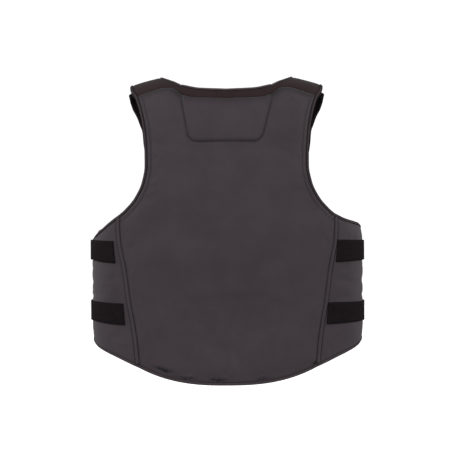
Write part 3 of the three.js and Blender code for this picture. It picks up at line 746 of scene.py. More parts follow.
@dataclass
class PaddedSheet:
    """A padded sheet laid on the form, as thick near each edge as that edge's finish makes it."""

    name: str
    node: str
    place: Place
    full: Callable[[Array], Array]
    borders: list[Border]
    across: Array
    along: Array
    finish: Finish
    form: TorsoForm = FORM
    fill: float = 0.7
    gather: float = 0.7
    simulated: bool = False
    cap: float = 1.4
    kept_lines: tuple[Array, ...] = ()
    held_run: float = 14.0
    calm_run: float = 25.0
    dents: tuple[Dent, ...] = ()
    shares: tuple[float, float] = (0.0, 1.0)
    # Soft unevenness of the outer side: height, wavelength and seed of each wave
    waves: tuple[tuple[float, float, float], ...] = ((0.45, 60.0, 3.1), (0.14, 19.0, 8.3))

    def edge(self, rim: Rim, since: float = 0.0, until: float = 1.0, count: int = 260) -> EdgeLine:
        """Points along one edge of the sheet.

        Args:
            rim: The edge.
            since: Share of the edge that the line starts at.
            until: Share that it ends at.
            count: Number of points.

        Returns:
            The edge's line.
        """
        run = np.linspace(since, until, count)
        low, high = self.shares
        if rim in (Rim.START, Rim.END):
            u, v = np.full(count, low if rim is Rim.START else high), run
        else:
            u, v = lerp(low, high, run), np.full(count, 0.0 if rim is Rim.LOW else 1.0)
        turn, climb = self.place(u, v)
        return EdgeLine(self.form.point(turn, climb), self.form.outward(turn, climb), self.full(climb))

    def border_points(self, border: Border) -> Array:
        """Points of the middle layer along one border."""
        return self.edge(border.rim, border.since, border.until, 90).middle

    def half_thickness(self, points: Array, full: Array) -> tuple[Array, Array, Array]:
        """Half thickness of the outer and the inner side at points of the middle layer.

        Args:
            points: Points of the middle layer.
            full: Full thickness at each.

        Returns:
            Outer and inner half thickness, and the painted shade at each point along the hem lines.
        """
        outer, inner = [], []
        painted_shade = np.zeros(len(points))
        gathers = soft_noise(points, 13.0, 4.4)
        for border in self.borders:
            distance = distance_to(points, self.border_points(border))
            taped = border.hem in (Hem.BOUND, Hem.NARROW, Hem.TOPSTITCHED)
            swell = bound_swell(full, distance) if taped else sewn_swell(full, distance)
            line = HEM_LINES[border.hem]
            past = distance - line.at
            near = bell(past, line.width)
            if border.hem is Hem.TOPSTITCHED:
                near = near + 0.5 * bell(past - PADDING.second_row, line.width)
                swell = swell + 2 * PADDING.ridge * bell(past - PADDING.second_row / 2, PADDING.ridge_width)
            strength = self.gather if border.hem in (Hem.NARROW, Hem.WELTED) else 0.35 * self.gather
            pucker = bell(past - 3.0, 4.5) * gathers
            outer.append(swell / 2 - line.depth * near + strength * pucker)
            inner.append(swell / 2)
            # Painted shade along each hem line
            painted_shade = np.maximum(painted_shade, line.dark * near)
        return soft_least(outer), soft_least(inner), painted_shade

    def build(self) -> bpy.types.Object:
        """Builds the sheet.

        Returns:
            The finished piece.
        """
        u, v = np.meshgrid(self.across, self.along, indexing="ij")
        turn, climb = self.place(u.ravel(), v.ravel())
        middle = self.form.point(turn, climb)
        normal = self.form.outward(turn, climb)
        outer, inner, painted_shade = self.half_thickness(middle, self.full(climb))
        # Each dent sinks the outer side and adds its painted shade
        for dent in self.dents:
            depth, dark = dent(middle, climb)
            outer, painted_shade = outer - depth, np.maximum(painted_shade, dark)
        for height, wavelength, seed in self.waves:
            outer = outer + height * soft_noise(middle, wavelength, seed)
        size = (len(self.across), len(self.along))
        outside = (middle + normal * outer[:, None]).reshape(*size, 3)
        inside = (middle - normal * inner[:, None]).reshape(*size, 3)
        flat = flat_pattern(middle.reshape(*size, 3))
        bm = grid_piece(outside, flat, painted_shade.reshape(size))
        close_sheet(bm, grid_piece(inside, flat))
        piece = finish_piece(self.name, bm, self.finish, [self.node])
        if self.simulated:
            self.swell(piece)
        return piece

    def swell(self, piece: bpy.types.Object) -> None:
        """Runs the cloth simulation on the piece, held near its edges and in its creases.

        The cloth also stays calm where the form starts to arch over the shoulder.

        Args:
            piece: The sheet's finished piece.
        """
        points = vertex_places(piece.data) / MM
        lines = [self.border_points(border) for border in self.borders]
        away = np.min([distance_to(points, line) for line in (*lines, *self.kept_lines)], axis=0)
        from_foot = np.abs(points[:, 2] + self.form.arch_foot)
        free = smooth((away - self.held_run + 1.0) / self.held_run) * smooth(from_foot / self.calm_run)
        moved = swell_by_cloth(piece, away < self.held_run, self.cap * free)
        LOG.info("%s: cloth moved it up to %.2f mm", self.name, moved)


def vertex_places(mesh: bpy.types.Mesh) -> Array:
    """Positions of a mesh's points in metres, one row for each."""
    places = np.empty(len(mesh.vertices) * 3)
    mesh.vertices.foreach_get("co", places)
    return places.reshape(-1, 3)


def swell_by_cloth(piece: bpy.types.Object, held: Array, cap: Array, frames: int = 20) -> float:
    """Lets a padded piece swell and settle as cloth between its seams, with Blender's Cloth simulation.

    Args:
        piece: The piece, a closed mesh.
        held: Whether each point is held in place.
        cap: How far each point may move, in millimetres.
        frames: Number of frames that the cloth has to settle.

    Returns:
        The furthest that a point moved, in millimetres.
    """
    mesh = piece.data
    before = vertex_places(mesh)
    pins = piece.vertex_groups.new(name="held")
    pins.add(np.flatnonzero(held).tolist(), 1.0, "REPLACE")
    cloth = piece.modifiers.new("swell", "CLOTH")
    settings = cloth.settings
    settings.quality = 4
    settings.mass = 0.25
    settings.vertex_group_mass = pins.name
    settings.use_pressure = True
    settings.uniform_pressure_force = 4.0
    settings.tension_stiffness = 12.0
    settings.compression_stiffness = 8.0
    settings.bending_stiffness = 0.6
    settings.shrink_min = -0.03
    settings.effector_weights.gravity = 0.0
    cloth.collision_settings.use_collision = False
    scene = bpy.context.scene
    for number in range(1, frames + 1):
        scene.frame_set(number)
    settled = piece.evaluated_get(bpy.context.evaluated_depsgraph_get())
    move = (vertex_places(settled.data) - before) / MM
    length = np.linalg.norm(move, axis=1)
    move *= np.minimum(1.0, cap / np.maximum(length, 1e-9))[:, None]
    piece.modifiers.remove(cloth)
    piece.vertex_groups.remove(pins)
    scene.frame_set(1)
    mesh.vertices.foreach_set("co", (before + move * MM).ravel())
    mesh.update()
    return float(np.linalg.norm(move, axis=1).max())


def flat_pattern(points: Array) -> Array:
    """Lays a grid of points out flat, in metres: length across its middle row, and length up each column.

    Args:
        points: Positions in millimetres, by column and row.

    Returns:
        Two coordinates for each point.
    """
    columns, rows = points.shape[:2]
    u = run_along(points[:, rows // 2])[:, None].repeat(rows, axis=1)
    along = np.linalg.norm(np.diff(points, axis=1), axis=2)
    v = np.concatenate([np.zeros((columns, 1)), np.cumsum(along, axis=1)], axis=1)
    return np.stack([u, v], axis=-1) * MM


def close_sheet(bm: bmesh.types.BMesh, back: bmesh.types.BMesh) -> None:
    """Adds the back of a sheet to its front and closes the rim between them.

    Args:
        bm: The front, which becomes the whole sheet.
        back: The back, which is freed.
    """
    scratch = bpy.data.meshes.new("sheet_back")
    back.to_mesh(scratch)
    back.free()
    bm.from_mesh(scratch)
    bpy.data.meshes.remove(scratch)
    rims = [edge for edge in bm.edges if edge.is_boundary]
    bmesh.ops.bridge_loops(bm, edges=rims)
    bmesh.ops.recalc_face_normals(bm, faces=bm.faces)


def swept_piece(
    name: str,
    rings: Array,
    finish: Finish,
    nodes: Sequence[str],
    shade: Sequence[float] | None = None,
) -> bpy.types.Object:
    """Builds a closed tape, welt or strap from the rings of its section.

    Args:
        name: Name of the piece.
        rings: Positions in millimetres, by ring along it and point round it.
        finish: Its finish.
        nodes: CAD nodes that it stands for.
        shade: Painted shade at each point round the section.

    Returns:
        The finished piece.
    """
    closed = np.concatenate([rings, rings[:, :1]], axis=1)
    painted_shade = None if shade is None else np.tile([*shade, shade[0]], (len(rings), 1))
    length, girth = run_along(rings.mean(axis=1)), run_along(closed[0])
    flat = np.stack(np.meshgrid(length, girth, indexing="ij"), axis=-1) * MM
    bm = grid_piece(closed, flat, painted_shade)
    bmesh.ops.remove_doubles(bm, verts=bm.verts, dist=1e-6)
    bmesh.ops.holes_fill(bm, edges=[edge for edge in bm.edges if edge.is_boundary], sides=0)
    bmesh.ops.recalc_face_normals(bm, faces=bm.faces)
    return finish_piece(name, bm, finish, nodes)


# Shares of the back's length down to the corners of its outline
PANEL_TOP = 0.0505
SEAM_TOP = 0.4415
HEM_CORNER = 0.9475
# Shares of the half width at the top of the side seams, at the front's top and at its underarm
SEAM_TOP_HALF = 0.781
FRONT_TOP_HALF = 0.6416
UNDERARM_HALF = 0.955


@dataclass(frozen=True)
class BackOutline:
    """Outline of the back panel, and the named sizes that its neighbours share."""

    hem_drop: float = 29.0
    hem_power: float = 2.6
    yoke_inner: float = 76.0
    armhole_curve: Callable[[Any], Array] = curve_through(
        (PANEL_TOP, 0.672), (0.107, 0.634), (0.169, 0.605), (0.231, 0.5935), (0.284, 0.592),
        (0.337, 0.613), (0.389, 0.669), (0.428, 0.745), (SEAM_TOP, SEAM_TOP_HALF),
    )
    seam_curve: Callable[[Any], Array] = curve_through(
        (SEAM_TOP, SEAM_TOP_HALF), (0.468, 0.787), (0.527, 0.782), (0.577, 0.763), (0.62, 0.745),
        (0.67, 0.732), (0.736, 0.7145), (0.792, 0.693), (0.871, 0.667), (HEM_CORNER, 0.651),
    )
    yoke_seam_curve: Callable[[Any], Array] = curve_through(
        (0.0, 0.0632), (0.377, 0.0583), (0.486, 0.047), (0.594, 0.0255), (0.68, 0.025),
        (0.8, 0.034), (1.0, 0.0525),
    )
    neck_curve: Callable[[Any], Array] = curve_through((0.0, 0.031), (0.6, 0.0263), (1.0, 0.0135))

    @property
    def top(self) -> float:
        """Climb of the panel's outer top corners."""
        return -FORM.back_length * PANEL_TOP

    @property
    def seam_top(self) -> float:
        """Climb at which the side seams start."""
        return -FORM.back_length * SEAM_TOP

    @property
    def hem_corner(self) -> float:
        """Climb of the hem at the side seams."""
        return -FORM.back_length * HEM_CORNER

    @property
    def rise(self) -> float:
        """Height from the hem's corners to the top corners."""
        return self.top - self.hem_corner

    @property
    def seam_share(self) -> float:
        """Share of the panel's sides, from the hem's corners up, that is side seam."""
        return (self.seam_top - self.hem_corner) / self.rise

    @property
    def top_half(self) -> float:
        """Half width of the panel at its top corners."""
        return float(self.half(np.array(self.top)))

    def half(self, climb: Array) -> Array:
        """Half width of the panel at a climb."""
        level = -np.asarray(climb) / FORM.back_length
        return FORM.half_width * np.where(level < SEAM_TOP, self.armhole_curve(level), self.seam_curve(level))

    def yoke_seam(self, x: Array) -> Array:
        """Climb of the seam between the panel and what is above it."""
        level = self.yoke_seam_curve(np.abs(x) / self.top_half)
        return FORM.climb_at(x, -FORM.back_length * level)

    def neck_top(self, x: Array) -> Array:
        """Climb of the back neckline."""
        return FORM.climb_at(x, -FORM.back_length * self.neck_curve(np.abs(x) / self.yoke_inner))

    def seam_turn(self, climb: Array) -> Array:
        """Turn of the side seam."""
        return FORM.turn_at(self.half(np.minimum(climb, self.seam_top - 1e-6)), climb)

    def place(self, u: Array, v: Array) -> tuple[Array, Array]:
        """Turn and climb of a share across (-1 to 1) and a share up the panel."""
        side = lerp(self.hem_corner, self.top, v)
        x = u * self.half(side)
        hem = -self.hem_drop * (1 - np.abs(u) ** self.hem_power) * (1 - v) ** 2
        top = (self.yoke_seam(u * self.top_half) - self.top) * v**3
        return FORM.turn_at(x, side), side + hem + top


OUTLINE = BackOutline()

# How far a sewn-on piece laps the seam that it is sewn at
SEAM_LAP = 0.2


@dataclass
class NeckPad:
    """The trapezoid pad let into the back below the neckline."""

    half_top: float = 76.0
    half_low: float = 61.0
    bottom: float = -107.0
    corner: float = 12.0
    lean: float = -2.5
    proud: float = 0.8
    groove: float = 2.6
    groove_width: float = 2.2
    sunk: float = 4.0
    wall: float = 3.0
    round_run: float = 6.0
    # Strength of the painted shade in the groove round the pad
    painted_shade: float = 0.5

    @property
    def rise(self) -> float:
        """Height of the pad at its middle."""
        return float(OUTLINE.yoke_seam(np.array(0.0))) - self.bottom

    def half(self, climb: Array) -> Array:
        """Half width of the pad at a climb."""
        row = np.clip((climb - self.bottom) / self.rise, 0.0, 1.0)
        return lerp(self.half_low, self.half_top, row) - round_end(climb - self.bottom, self.corner)

    def drift(self, climb: Array) -> Array:
        """How far to the side the pad lies at a climb: it leans a little as worn."""
        return self.lean * np.clip(1 - (climb - self.bottom) / self.rise, 0.0, 1.0)

    def outline(self) -> Array:
        """Points down one side of the pad, along its bottom and up the other side."""
        top = float(OUTLINE.yoke_seam(np.array(self.half_top)))
        climb = self.bottom + (top - self.bottom) * np.linspace(1.0, 0.0, 90) ** 2
        right = self.half(climb)
        base = np.linspace(1.0, -1.0, 40) * right[-1]
        x = np.concatenate([right, base, -right[::-1]])
        climbs = np.concatenate([climb, np.full(40, self.bottom), climb[::-1]])
        return FORM.point(FORM.turn_at(x + self.drift(climbs), climbs), climbs)

    def dent(self, middle: Array, climb: Array) -> tuple[Array, Array]:
        """How far the back panel sinks to take the pad.

        Args:
            middle: Points of the panel's middle layer.
            climb: Their climbs.

        Returns:
            Depth at each point, and the painted shade in the groove round the pad.
        """
        near = (climb > self.bottom - 30) & (np.abs(middle[:, 0]) < self.half_top + 30)
        depth, painted_shade = np.zeros(len(middle)), np.zeros(len(middle))
        distance = distance_to(middle[near], self.outline())
        offset = np.abs(middle[near, 0] - self.drift(climb[near]))
        inside = (offset < self.half(climb[near])) & (climb[near] > self.bottom)
        groove = self.groove * bell(distance, self.groove_width)
        depth[near] = np.maximum(groove, np.where(inside, self.sunk * smooth((distance - 0.5) / 3.0), 0.0))
        # Painted shade in the groove round the pad
        painted_shade[near] = self.painted_shade * bell(distance, 1.6)
        return depth, painted_shade

    def build(self) -> bpy.types.Object:
        """Builds the pad itself.

        Returns:
            The finished piece.
        """
        across = stations(2.0 * self.half_top, 3.5, 0.9, 9.0) * 2 - 1
        along = stations(self.rise, 3.5, 0.9, 9.0)
        u, v = np.meshgrid(across, along, indexing="ij")
        x = u * self.half(lerp(self.bottom, OUTLINE.yoke_seam(u * self.half_top), v))
        climb = lerp(self.bottom, OUTLINE.yoke_seam(x), v)
        turn = FORM.turn_at(x + self.drift(climb), climb)
        middle, normal = FORM.point(turn, climb), FORM.outward(turn, climb)
        points = middle.reshape(-1, 3)
        distance = distance_to(points, self.outline()).reshape(x.shape)
        rounding = 1 - np.sqrt(smooth(distance / self.round_run))
        level = PADDING.panel / 2 + self.proud - (self.groove + self.proud) * rounding
        from_top = OUTLINE.yoke_seam(x) - climb
        drawn_in = 1 - quarter_round(np.clip(from_top / PADDING.seam_run, 0.0, 1.0))
        level = level - (PADDING.panel - PADDING.sewn_edge) / 2 * drawn_in
        ripple = 0.25 * soft_noise(points, 40.0, 5.5).reshape(x.shape)
        outside = middle + normal * (level + ripple)[..., None]
        inside = middle + normal * (level - self.wall)[..., None]
        # Painted shade in the groove round the pad, and a band of it across the pad's top under the neck band
        capped = HEM_LINES[Hem.CAPPED]
        shade_under_band = 0.6 * capped.dark * bell(from_top, 0.8 * capped.width)
        painted_shade = np.maximum(self.painted_shade * bell(distance, 1.3), shade_under_band)
        flat = flat_pattern(middle)
        bm = grid_piece(outside, flat, painted_shade)
        close_sheet(bm, grid_piece(inside, flat))
        return finish_piece("let_in_neck_pad", bm, PANEL_CLOTH, ["neck_pad"])


@dataclass
class BackPanel:
    """The padded back, which takes the neck pad."""

    pad: NeckPad = field(default_factory=NeckPad)
    # Distance from the middle, half length, height above the hem and strength of each gathered fold
    gathers: tuple[tuple[float, float, float, float], ...] = (
        (-110.0, 13.5, 14.0, 1.2), (-69.0, 15.0, 8.5, 0.9), (-17.0, 12.0, 9.0, 1.0), (58.0, 9.0, 8.0, 0.5),
        (150.0, 7.0, 9.0, 1.0),
    )
    gather_width: float = 2.7
    gather_depth: float = 2.0

    def pucker(self, middle: Array, climb: Array) -> tuple[Array, Array]:
        """How the cloth is gathered in small folds just above the hem's tape.

        Args:
            middle: Points of the panel's middle layer.
            climb: Their climbs.

        Returns:
            Depth at each point, and the painted shade in the folds.
        """
        share = middle[:, 0] / OUTLINE.half(climb)
        hem = OUTLINE.place(share, np.zeros(len(share)))[1]
        near = climb - hem < 30.0
        x, up = middle[near, 0], (climb - hem)[near]
        wander = 2.5 * soft_noise(middle[near], 14.0, 6.6)
        amount = sum(
            strength * bell(x - at, half) * bell(up - height - wander, self.gather_width)
            for at, half, height, strength in self.gathers
        )
        ragged = np.clip(0.9 + 1.1 * soft_noise(middle[near], 5.0, 2.2), 0.0, 1.5)
        fold = np.zeros(len(middle))
        fold[near] = np.minimum(amount * ragged, 1.0)
        # The folds sink the cloth and carry painted shade in the same amount
        return self.gather_depth * fold, fold

    def sheet(self) -> PaddedSheet:
        """The panel as a padded sheet."""
        # Columns and rows lie closer together where the neck pad is let in
        columns = np.union1d(stations(344.0, 3.2), np.linspace(0.27, 0.73, 72))
        rows = np.union1d(stations(OUTLINE.rise + 20.0, 4.6), np.linspace(0.79, 0.985, 44))
        sides = [
            border
            for rim in (Rim.START, Rim.END)
            for border in (
                Border(rim, Hem.WELTED, 0.0, OUTLINE.seam_share),
                Border(rim, Hem.TOPSTITCHED, OUTLINE.seam_share, 1.0),
            )
        ]
        return PaddedSheet(
            name="padded_back",
            node="back_panel",
            place=OUTLINE.place,
            full=steady(PADDING.panel),
            borders=[Border(Rim.LOW, Hem.NARROW), Border(Rim.HIGH, Hem.CAPPED), *sides],
            across=columns * 2 - 1,
            along=rows,
            finish=PANEL_CLOTH,
            dents=(self.pad.dent, self.pucker),
            simulated=True,
            kept_lines=(self.pad.outline(),),
            shares=(-1.0, 1.0),
        )


@dataclass
class NeckBand:
    """The dark band between the back panel and the neckline: its darkness is painted shade, from the yokes'
    cloth.
    """

    height: float = 14.0

    def place(self, u: Array, v: Array) -> tuple[Array, Array]:
        """Turn and climb of a share across (-1 to 1) and a share up the band."""
        x = u * (OUTLINE.yoke_inner + 0.1)
        return FORM.turn_at(x, 0.0 * x), lerp(OUTLINE.yoke_seam(x) - SEAM_LAP, OUTLINE.neck_top(x), v)

    def sheet(self) -> PaddedSheet:
        """The band as a padded sheet."""
        return PaddedSheet(
            name="neck_band_cloth",
            node="neck_band",
            place=self.place,
            full=steady(PADDING.yoke),
            borders=[Border(Rim.LOW, Hem.SEWN), Border(Rim.HIGH, Hem.NARROW)],
            across=np.linspace(-1, 1, 61),
            along=stations(self.height, 1.2, 1.0, 5.0),
            finish=SHADED_YOKE_CLOTH,
            fill=0.5,
            shares=(-1.0, 1.0),
        )


@dataclass
class ShoulderYoke:
    """A yoke over one shoulder, which ends in a flap in front."""

    side: Side
    flap_lean: float = 150.0
    neck_curve: Callable[[Any], Array] = curve_through(
        (0.0, 1.0), (0.0725, 1.0), (0.14, 1.145), (0.203, 1.3), (0.284, 1.428),
        (0.373, 1.486), (0.481, 1.5), (0.731, 1.455), (1.0, 1.31),
    )
    arm_curve: Callable[[Any], Array] = curve_through(
        (0.0, 1.0), (0.084, 1.044), (0.218, 1.071), (0.43, 1.083), (0.714, 1.072), (1.0, 1.032)
    )

    @property
    def neck_corner(self) -> float:
        """Share of the yoke's length at which the neck band's top meets it."""
        start = float(OUTLINE.yoke_seam(np.array(OUTLINE.yoke_inner)))
        corner = float(OUTLINE.neck_top(np.array(OUTLINE.yoke_inner)))
        return (corner - start) / (FORM.climb_of_lean(self.flap_lean) - start)

    def place(self, u: Array, v: Array) -> tuple[Array, Array]:
        """Turn and climb of a share from the neck edge and a share from the back seam."""
        inner = OUTLINE.yoke_inner * self.neck_curve(v)
        outer = OUTLINE.top_half * self.arm_curve(v)
        low = OUTLINE.yoke_seam(lerp(OUTLINE.yoke_inner, OUTLINE.top_half, u)) - SEAM_LAP
        turn = self.side.value * FORM.turn_at(lerp(inner, outer, u), 0.0 * u)
        return turn, lerp(low, FORM.climb_of_lean(self.flap_lean), v)

    def sheet(self) -> PaddedSheet:
        """The yoke as a padded sheet."""
        return PaddedSheet(
            name=f"padded_yoke_{self.side.label}",
            node=f"shoulder_yoke_{self.side.label}",
            place=self.place,
            full=steady(PADDING.yoke),
            borders=[
                Border(Rim.LOW, Hem.SEWN),
                Border(Rim.START, Hem.NARROW, self.neck_corner, 1.0),
                Border(Rim.END, Hem.BOUND),
                Border(Rim.HIGH, Hem.BOUND),
            ],
            across=stations(60.0, 3.5),
            along=stations(250.0, 4.0),
            finish=SHADED_YOKE_CLOTH,
        )


@dataclass
class SideWing:
    """A wing from the back's side seam round to its own front edge."""

    side: Side
    side_edge: float = 12.0
    corner: float = 6.0
    left_top_corner: float = 9.0
    right_top_corner: float = 15.0
    span: float = 139.0
    left_top: Callable[[Any], Array] = curve_through(
        (0.0, SEAM_TOP), (0.16, 0.469), (0.35, 0.495), (0.52, 0.509), (0.78, 0.522), (1.0, 0.529)
    )
    right_top: Callable[[Any], Array] = curve_through(
        (0.0, SEAM_TOP), (0.16, 0.459), (0.35, 0.468), (0.52, 0.473), (0.78, 0.481), (1.0, 0.489)
    )
    hem_curve: Callable[[Any], Array] = curve_through(
        (0.0, HEM_CORNER), (0.19, 0.9185), (0.32, 0.904), (0.47, 0.8915), (0.64, 0.88),
        (0.8, 0.869), (1.0, 0.857),
    )

    def place(self, u: Array, v: Array) -> tuple[Array, Array]:
        """Turn and climb of a share from the seam and a share up the wing."""
        front = math.pi / 2 + math.atan2(self.side_edge, FORM.front_depth)
        to_front = (1 - u) * self.span
        left = self.side is Side.LEFT
        top = self.left_top if left else self.right_top
        top_corner = self.left_top_corner if left else self.right_top_corner
        low = -FORM.back_length * self.hem_curve(u) + round_end(to_front, self.corner)
        high = -FORM.back_length * top(u) - round_end(to_front, top_corner)
        climb = lerp(low, high, v)
        return self.side.value * lerp(OUTLINE.seam_turn(climb), front, u), climb

    def sheet(self) -> PaddedSheet:
        """The wing as a padded sheet."""
        return PaddedSheet(
            name=f"padded_wing_{self.side.label}",
            node=f"side_wing_{self.side.label}",
            place=self.place,
            full=steady(PADDING.wing),
            borders=[
                Border(Rim.START, Hem.WELTED),
                Border(Rim.END, Hem.NARROW),
                Border(Rim.LOW, Hem.NARROW),
                Border(Rim.HIGH, Hem.BOUND),
            ],
            across=stations(self.span, 4.0),
            along=stations(240.0, 4.5),
            finish=PANEL_CLOTH,
            simulated=True,
            cap=0.9,
        )


@dataclass
class FrontPanel:
    """The padded front, finished plainly."""

    side_opening: float = 18.0
    hem: float = -455.0
    hem_drop: float = 12.0
    neck_half: float = 88.0
    neck_drop: float = 40.0
    underarm: float = -252.0
    underarm_round: float = 24.0
    armhole_curve: Callable[[Any], Array] = curve_through(
        (0.1927, FRONT_TOP_HALF), (0.25, 0.6266), (0.318, 0.6266), (0.376, 0.648), (0.42, 0.6996),
        (0.4526, 0.7725), (0.4737, 0.85), (0.4835, 0.91), (0.4865, UNDERARM_HALF),
    )

    @property
    def top_half(self) -> float:
        """Half width of the panel at its top."""
        return FORM.half_width * FRONT_TOP_HALF

    @property
    def neck_share(self) -> float:
        """Share of the top edge's half width that the neckline takes."""
        seam = np.array(FRONT_FORM.seam)
        return float(FORM.turn_at(np.array(self.neck_half), seam)) / float(self.side_turn(seam))

    @property
    def neckline(self) -> tuple[float, float]:
        """Shares along the top edge at which the neckline starts and ends."""
        return (1 - self.neck_share) / 2, (1 + self.neck_share) / 2

    def height_share(self, climb: float) -> float:
        """Share of the panel's height at a climb."""
        return (climb - self.hem) / (FRONT_FORM.seam - self.hem)

    def side_turn(self, climb: Array) -> Array:
        """Turn, from the centre of the front, of the panel's side edge."""
        climb = np.asarray(climb, float)
        half = FORM.half_width * self.armhole_curve(-climb / FORM.back_length)
        inner = FORM.turn_at(np.array(FORM.half_width * UNDERARM_HALF), np.array(self.underarm))
        outer = math.pi / 2 - math.atan2(self.side_opening, FORM.front_depth)
        down = np.clip((self.underarm - climb) / self.underarm_round, 0.0, 1.0)
        below = lerp(inner, outer, quarter_round(down))
        return np.where(climb > self.underarm, FORM.turn_at(half, climb), below)

    def place(self, u: Array, v: Array) -> tuple[Array, Array]:
        """Turn and climb of a share across (-1 to 1) and a share up the panel."""
        side = lerp(self.hem, FRONT_FORM.seam, v)
        turn = u * self.side_turn(side)
        x = FORM.point(turn, side)[..., 0]
        share = np.minimum(np.abs(x) / self.neck_half, 1.0)
        neck = -self.neck_drop * np.sqrt(1 - share**2)
        return math.pi - turn, side - self.hem_drop * (1 - u**2) * (1 - v) ** 2 + neck * v**3

    def sheet(self) -> PaddedSheet:
        """The front as a padded sheet."""
        start, end = self.neckline
        corner = self.height_share(self.underarm)
        columns = np.union1d(stations(440.0, 5.0), [start, end])
        rows = np.union1d(
            stations(FRONT_FORM.seam - self.hem, 5.0), np.linspace(corner - 0.07, corner + 0.04, 30)
        )
        return PaddedSheet(
            name="padded_front",
            node="front_panel",
            place=self.place,
            full=front_padding,
            borders=[
                Border(Rim.START, Hem.BOUND),
                Border(Rim.END, Hem.BOUND),
                Border(Rim.LOW, Hem.BOUND),
                Border(Rim.HIGH, Hem.SEWN, 0.0, start),
                Border(Rim.HIGH, Hem.BOUND, start, end),
                Border(Rim.HIGH, Hem.SEWN, end, 1.0),
            ],
            across=columns * 2 - 1,
            along=rows,
            finish=PANEL_CLOTH,
            form=FRONT_FORM,
            simulated=True,
            shares=(-1.0, 1.0),
        )


def front_padding(climb: Array) -> Array:
    """Full thickness of the front, which thins as it tucks under the yokes."""
    return lerp(PADDING.panel, PADDING.tab, FRONT_FORM.tuck_share(np.asarray(climb, float)))


@dataclass
class FrontShoulder:
    """The front's own shoulder, which ends under the yoke's flap and is wider than it."""

    side: Side
    front: FrontPanel = field(default_factory=FrontPanel)
    top_lean: float = 83.0
    corner: float = 11.0
    arm_curve: Callable[[Any], Array] = curve_through(
        (0.0, 1.0), (0.198, 1.039), (0.289, 1.067), (0.407, 1.1), (0.562, 1.147),
        (0.718, 1.162), (1.0, 1.164),
    )
    neck_curve: Callable[[Any], Array] = curve_through(
        (0.0, 1.0), (0.321, 1.114), (0.705, 1.249), (1.0, 1.289)
    )

    def place(self, u: Array, v: Array) -> tuple[Array, Array]:
        """Turn and climb of a share from the neck edge and a share up the shoulder."""
        start, top = FRONT_FORM.seam - SEAM_LAP, FORM.climb_of_lean(self.top_lean)
        corner = round_end((1 - v) * (top - start), self.corner)
        inner = self.front.neck_half * self.neck_curve(v)
        outer = self.front.top_half * self.arm_curve(v) - corner
        climb = lerp(start, top, v)
        return math.pi - self.side.value * FORM.turn_at(lerp(inner, outer, u), climb), climb

    def sheet(self) -> PaddedSheet:
        """The front shoulder as a padded sheet."""
        return PaddedSheet(
            name=f"padded_front_shoulder_{self.side.label}",
            node=f"front_shoulder_{self.side.label}",
            place=self.place,
            full=front_padding,
            borders=[
                Border(Rim.LOW, Hem.SEWN),
                Border(Rim.START, Hem.BOUND),
                Border(Rim.END, Hem.BOUND),
                Border(Rim.HIGH, Hem.BOUND),
            ],
            across=stations(62.0, 4.0),
            along=stations(150.0, 4.5),
            finish=TAB_LOOP,
            form=FRONT_FORM,
        )


def stitch_row(
    name: str, lines: Sequence[EdgeLine], pitch: float = 3.6, thread: float = 0.75
) -> bpy.types.Object:
    """Lays a row of short stitches along each line.

    Args:
        name: Name of the piece.
        lines: Lines of the thread, with the surface's normals.
        pitch: Length of one stitch and the gap after it.
        thread: Thickness of the thread.

    Returns:
        The finished piece.
    """
    bm = bmesh.new()
    for line in lines:
        row = line.evenly(pitch)
        along = unit(np.gradient(row.middle, axis=0))
        for spot, way, out in zip(row.middle, along, row.normal):
            across = np.cross(out, way)
            axes = np.stack([way * pitch * 0.4, across * thread / 2, out * thread / 2], axis=1)
            place = Matrix.Translation(Vector(spot * MM)) @ Matrix(axes * MM).to_4x4()
            bmesh.ops.create_icosphere(bm, subdivisions=1, radius=1.0, matrix=place)
    for face in bm.faces:
        face.smooth = True
    bmesh.ops.recalc_face_normals(bm, faces=bm.faces)
    return finish_piece(name, bm, THREAD)


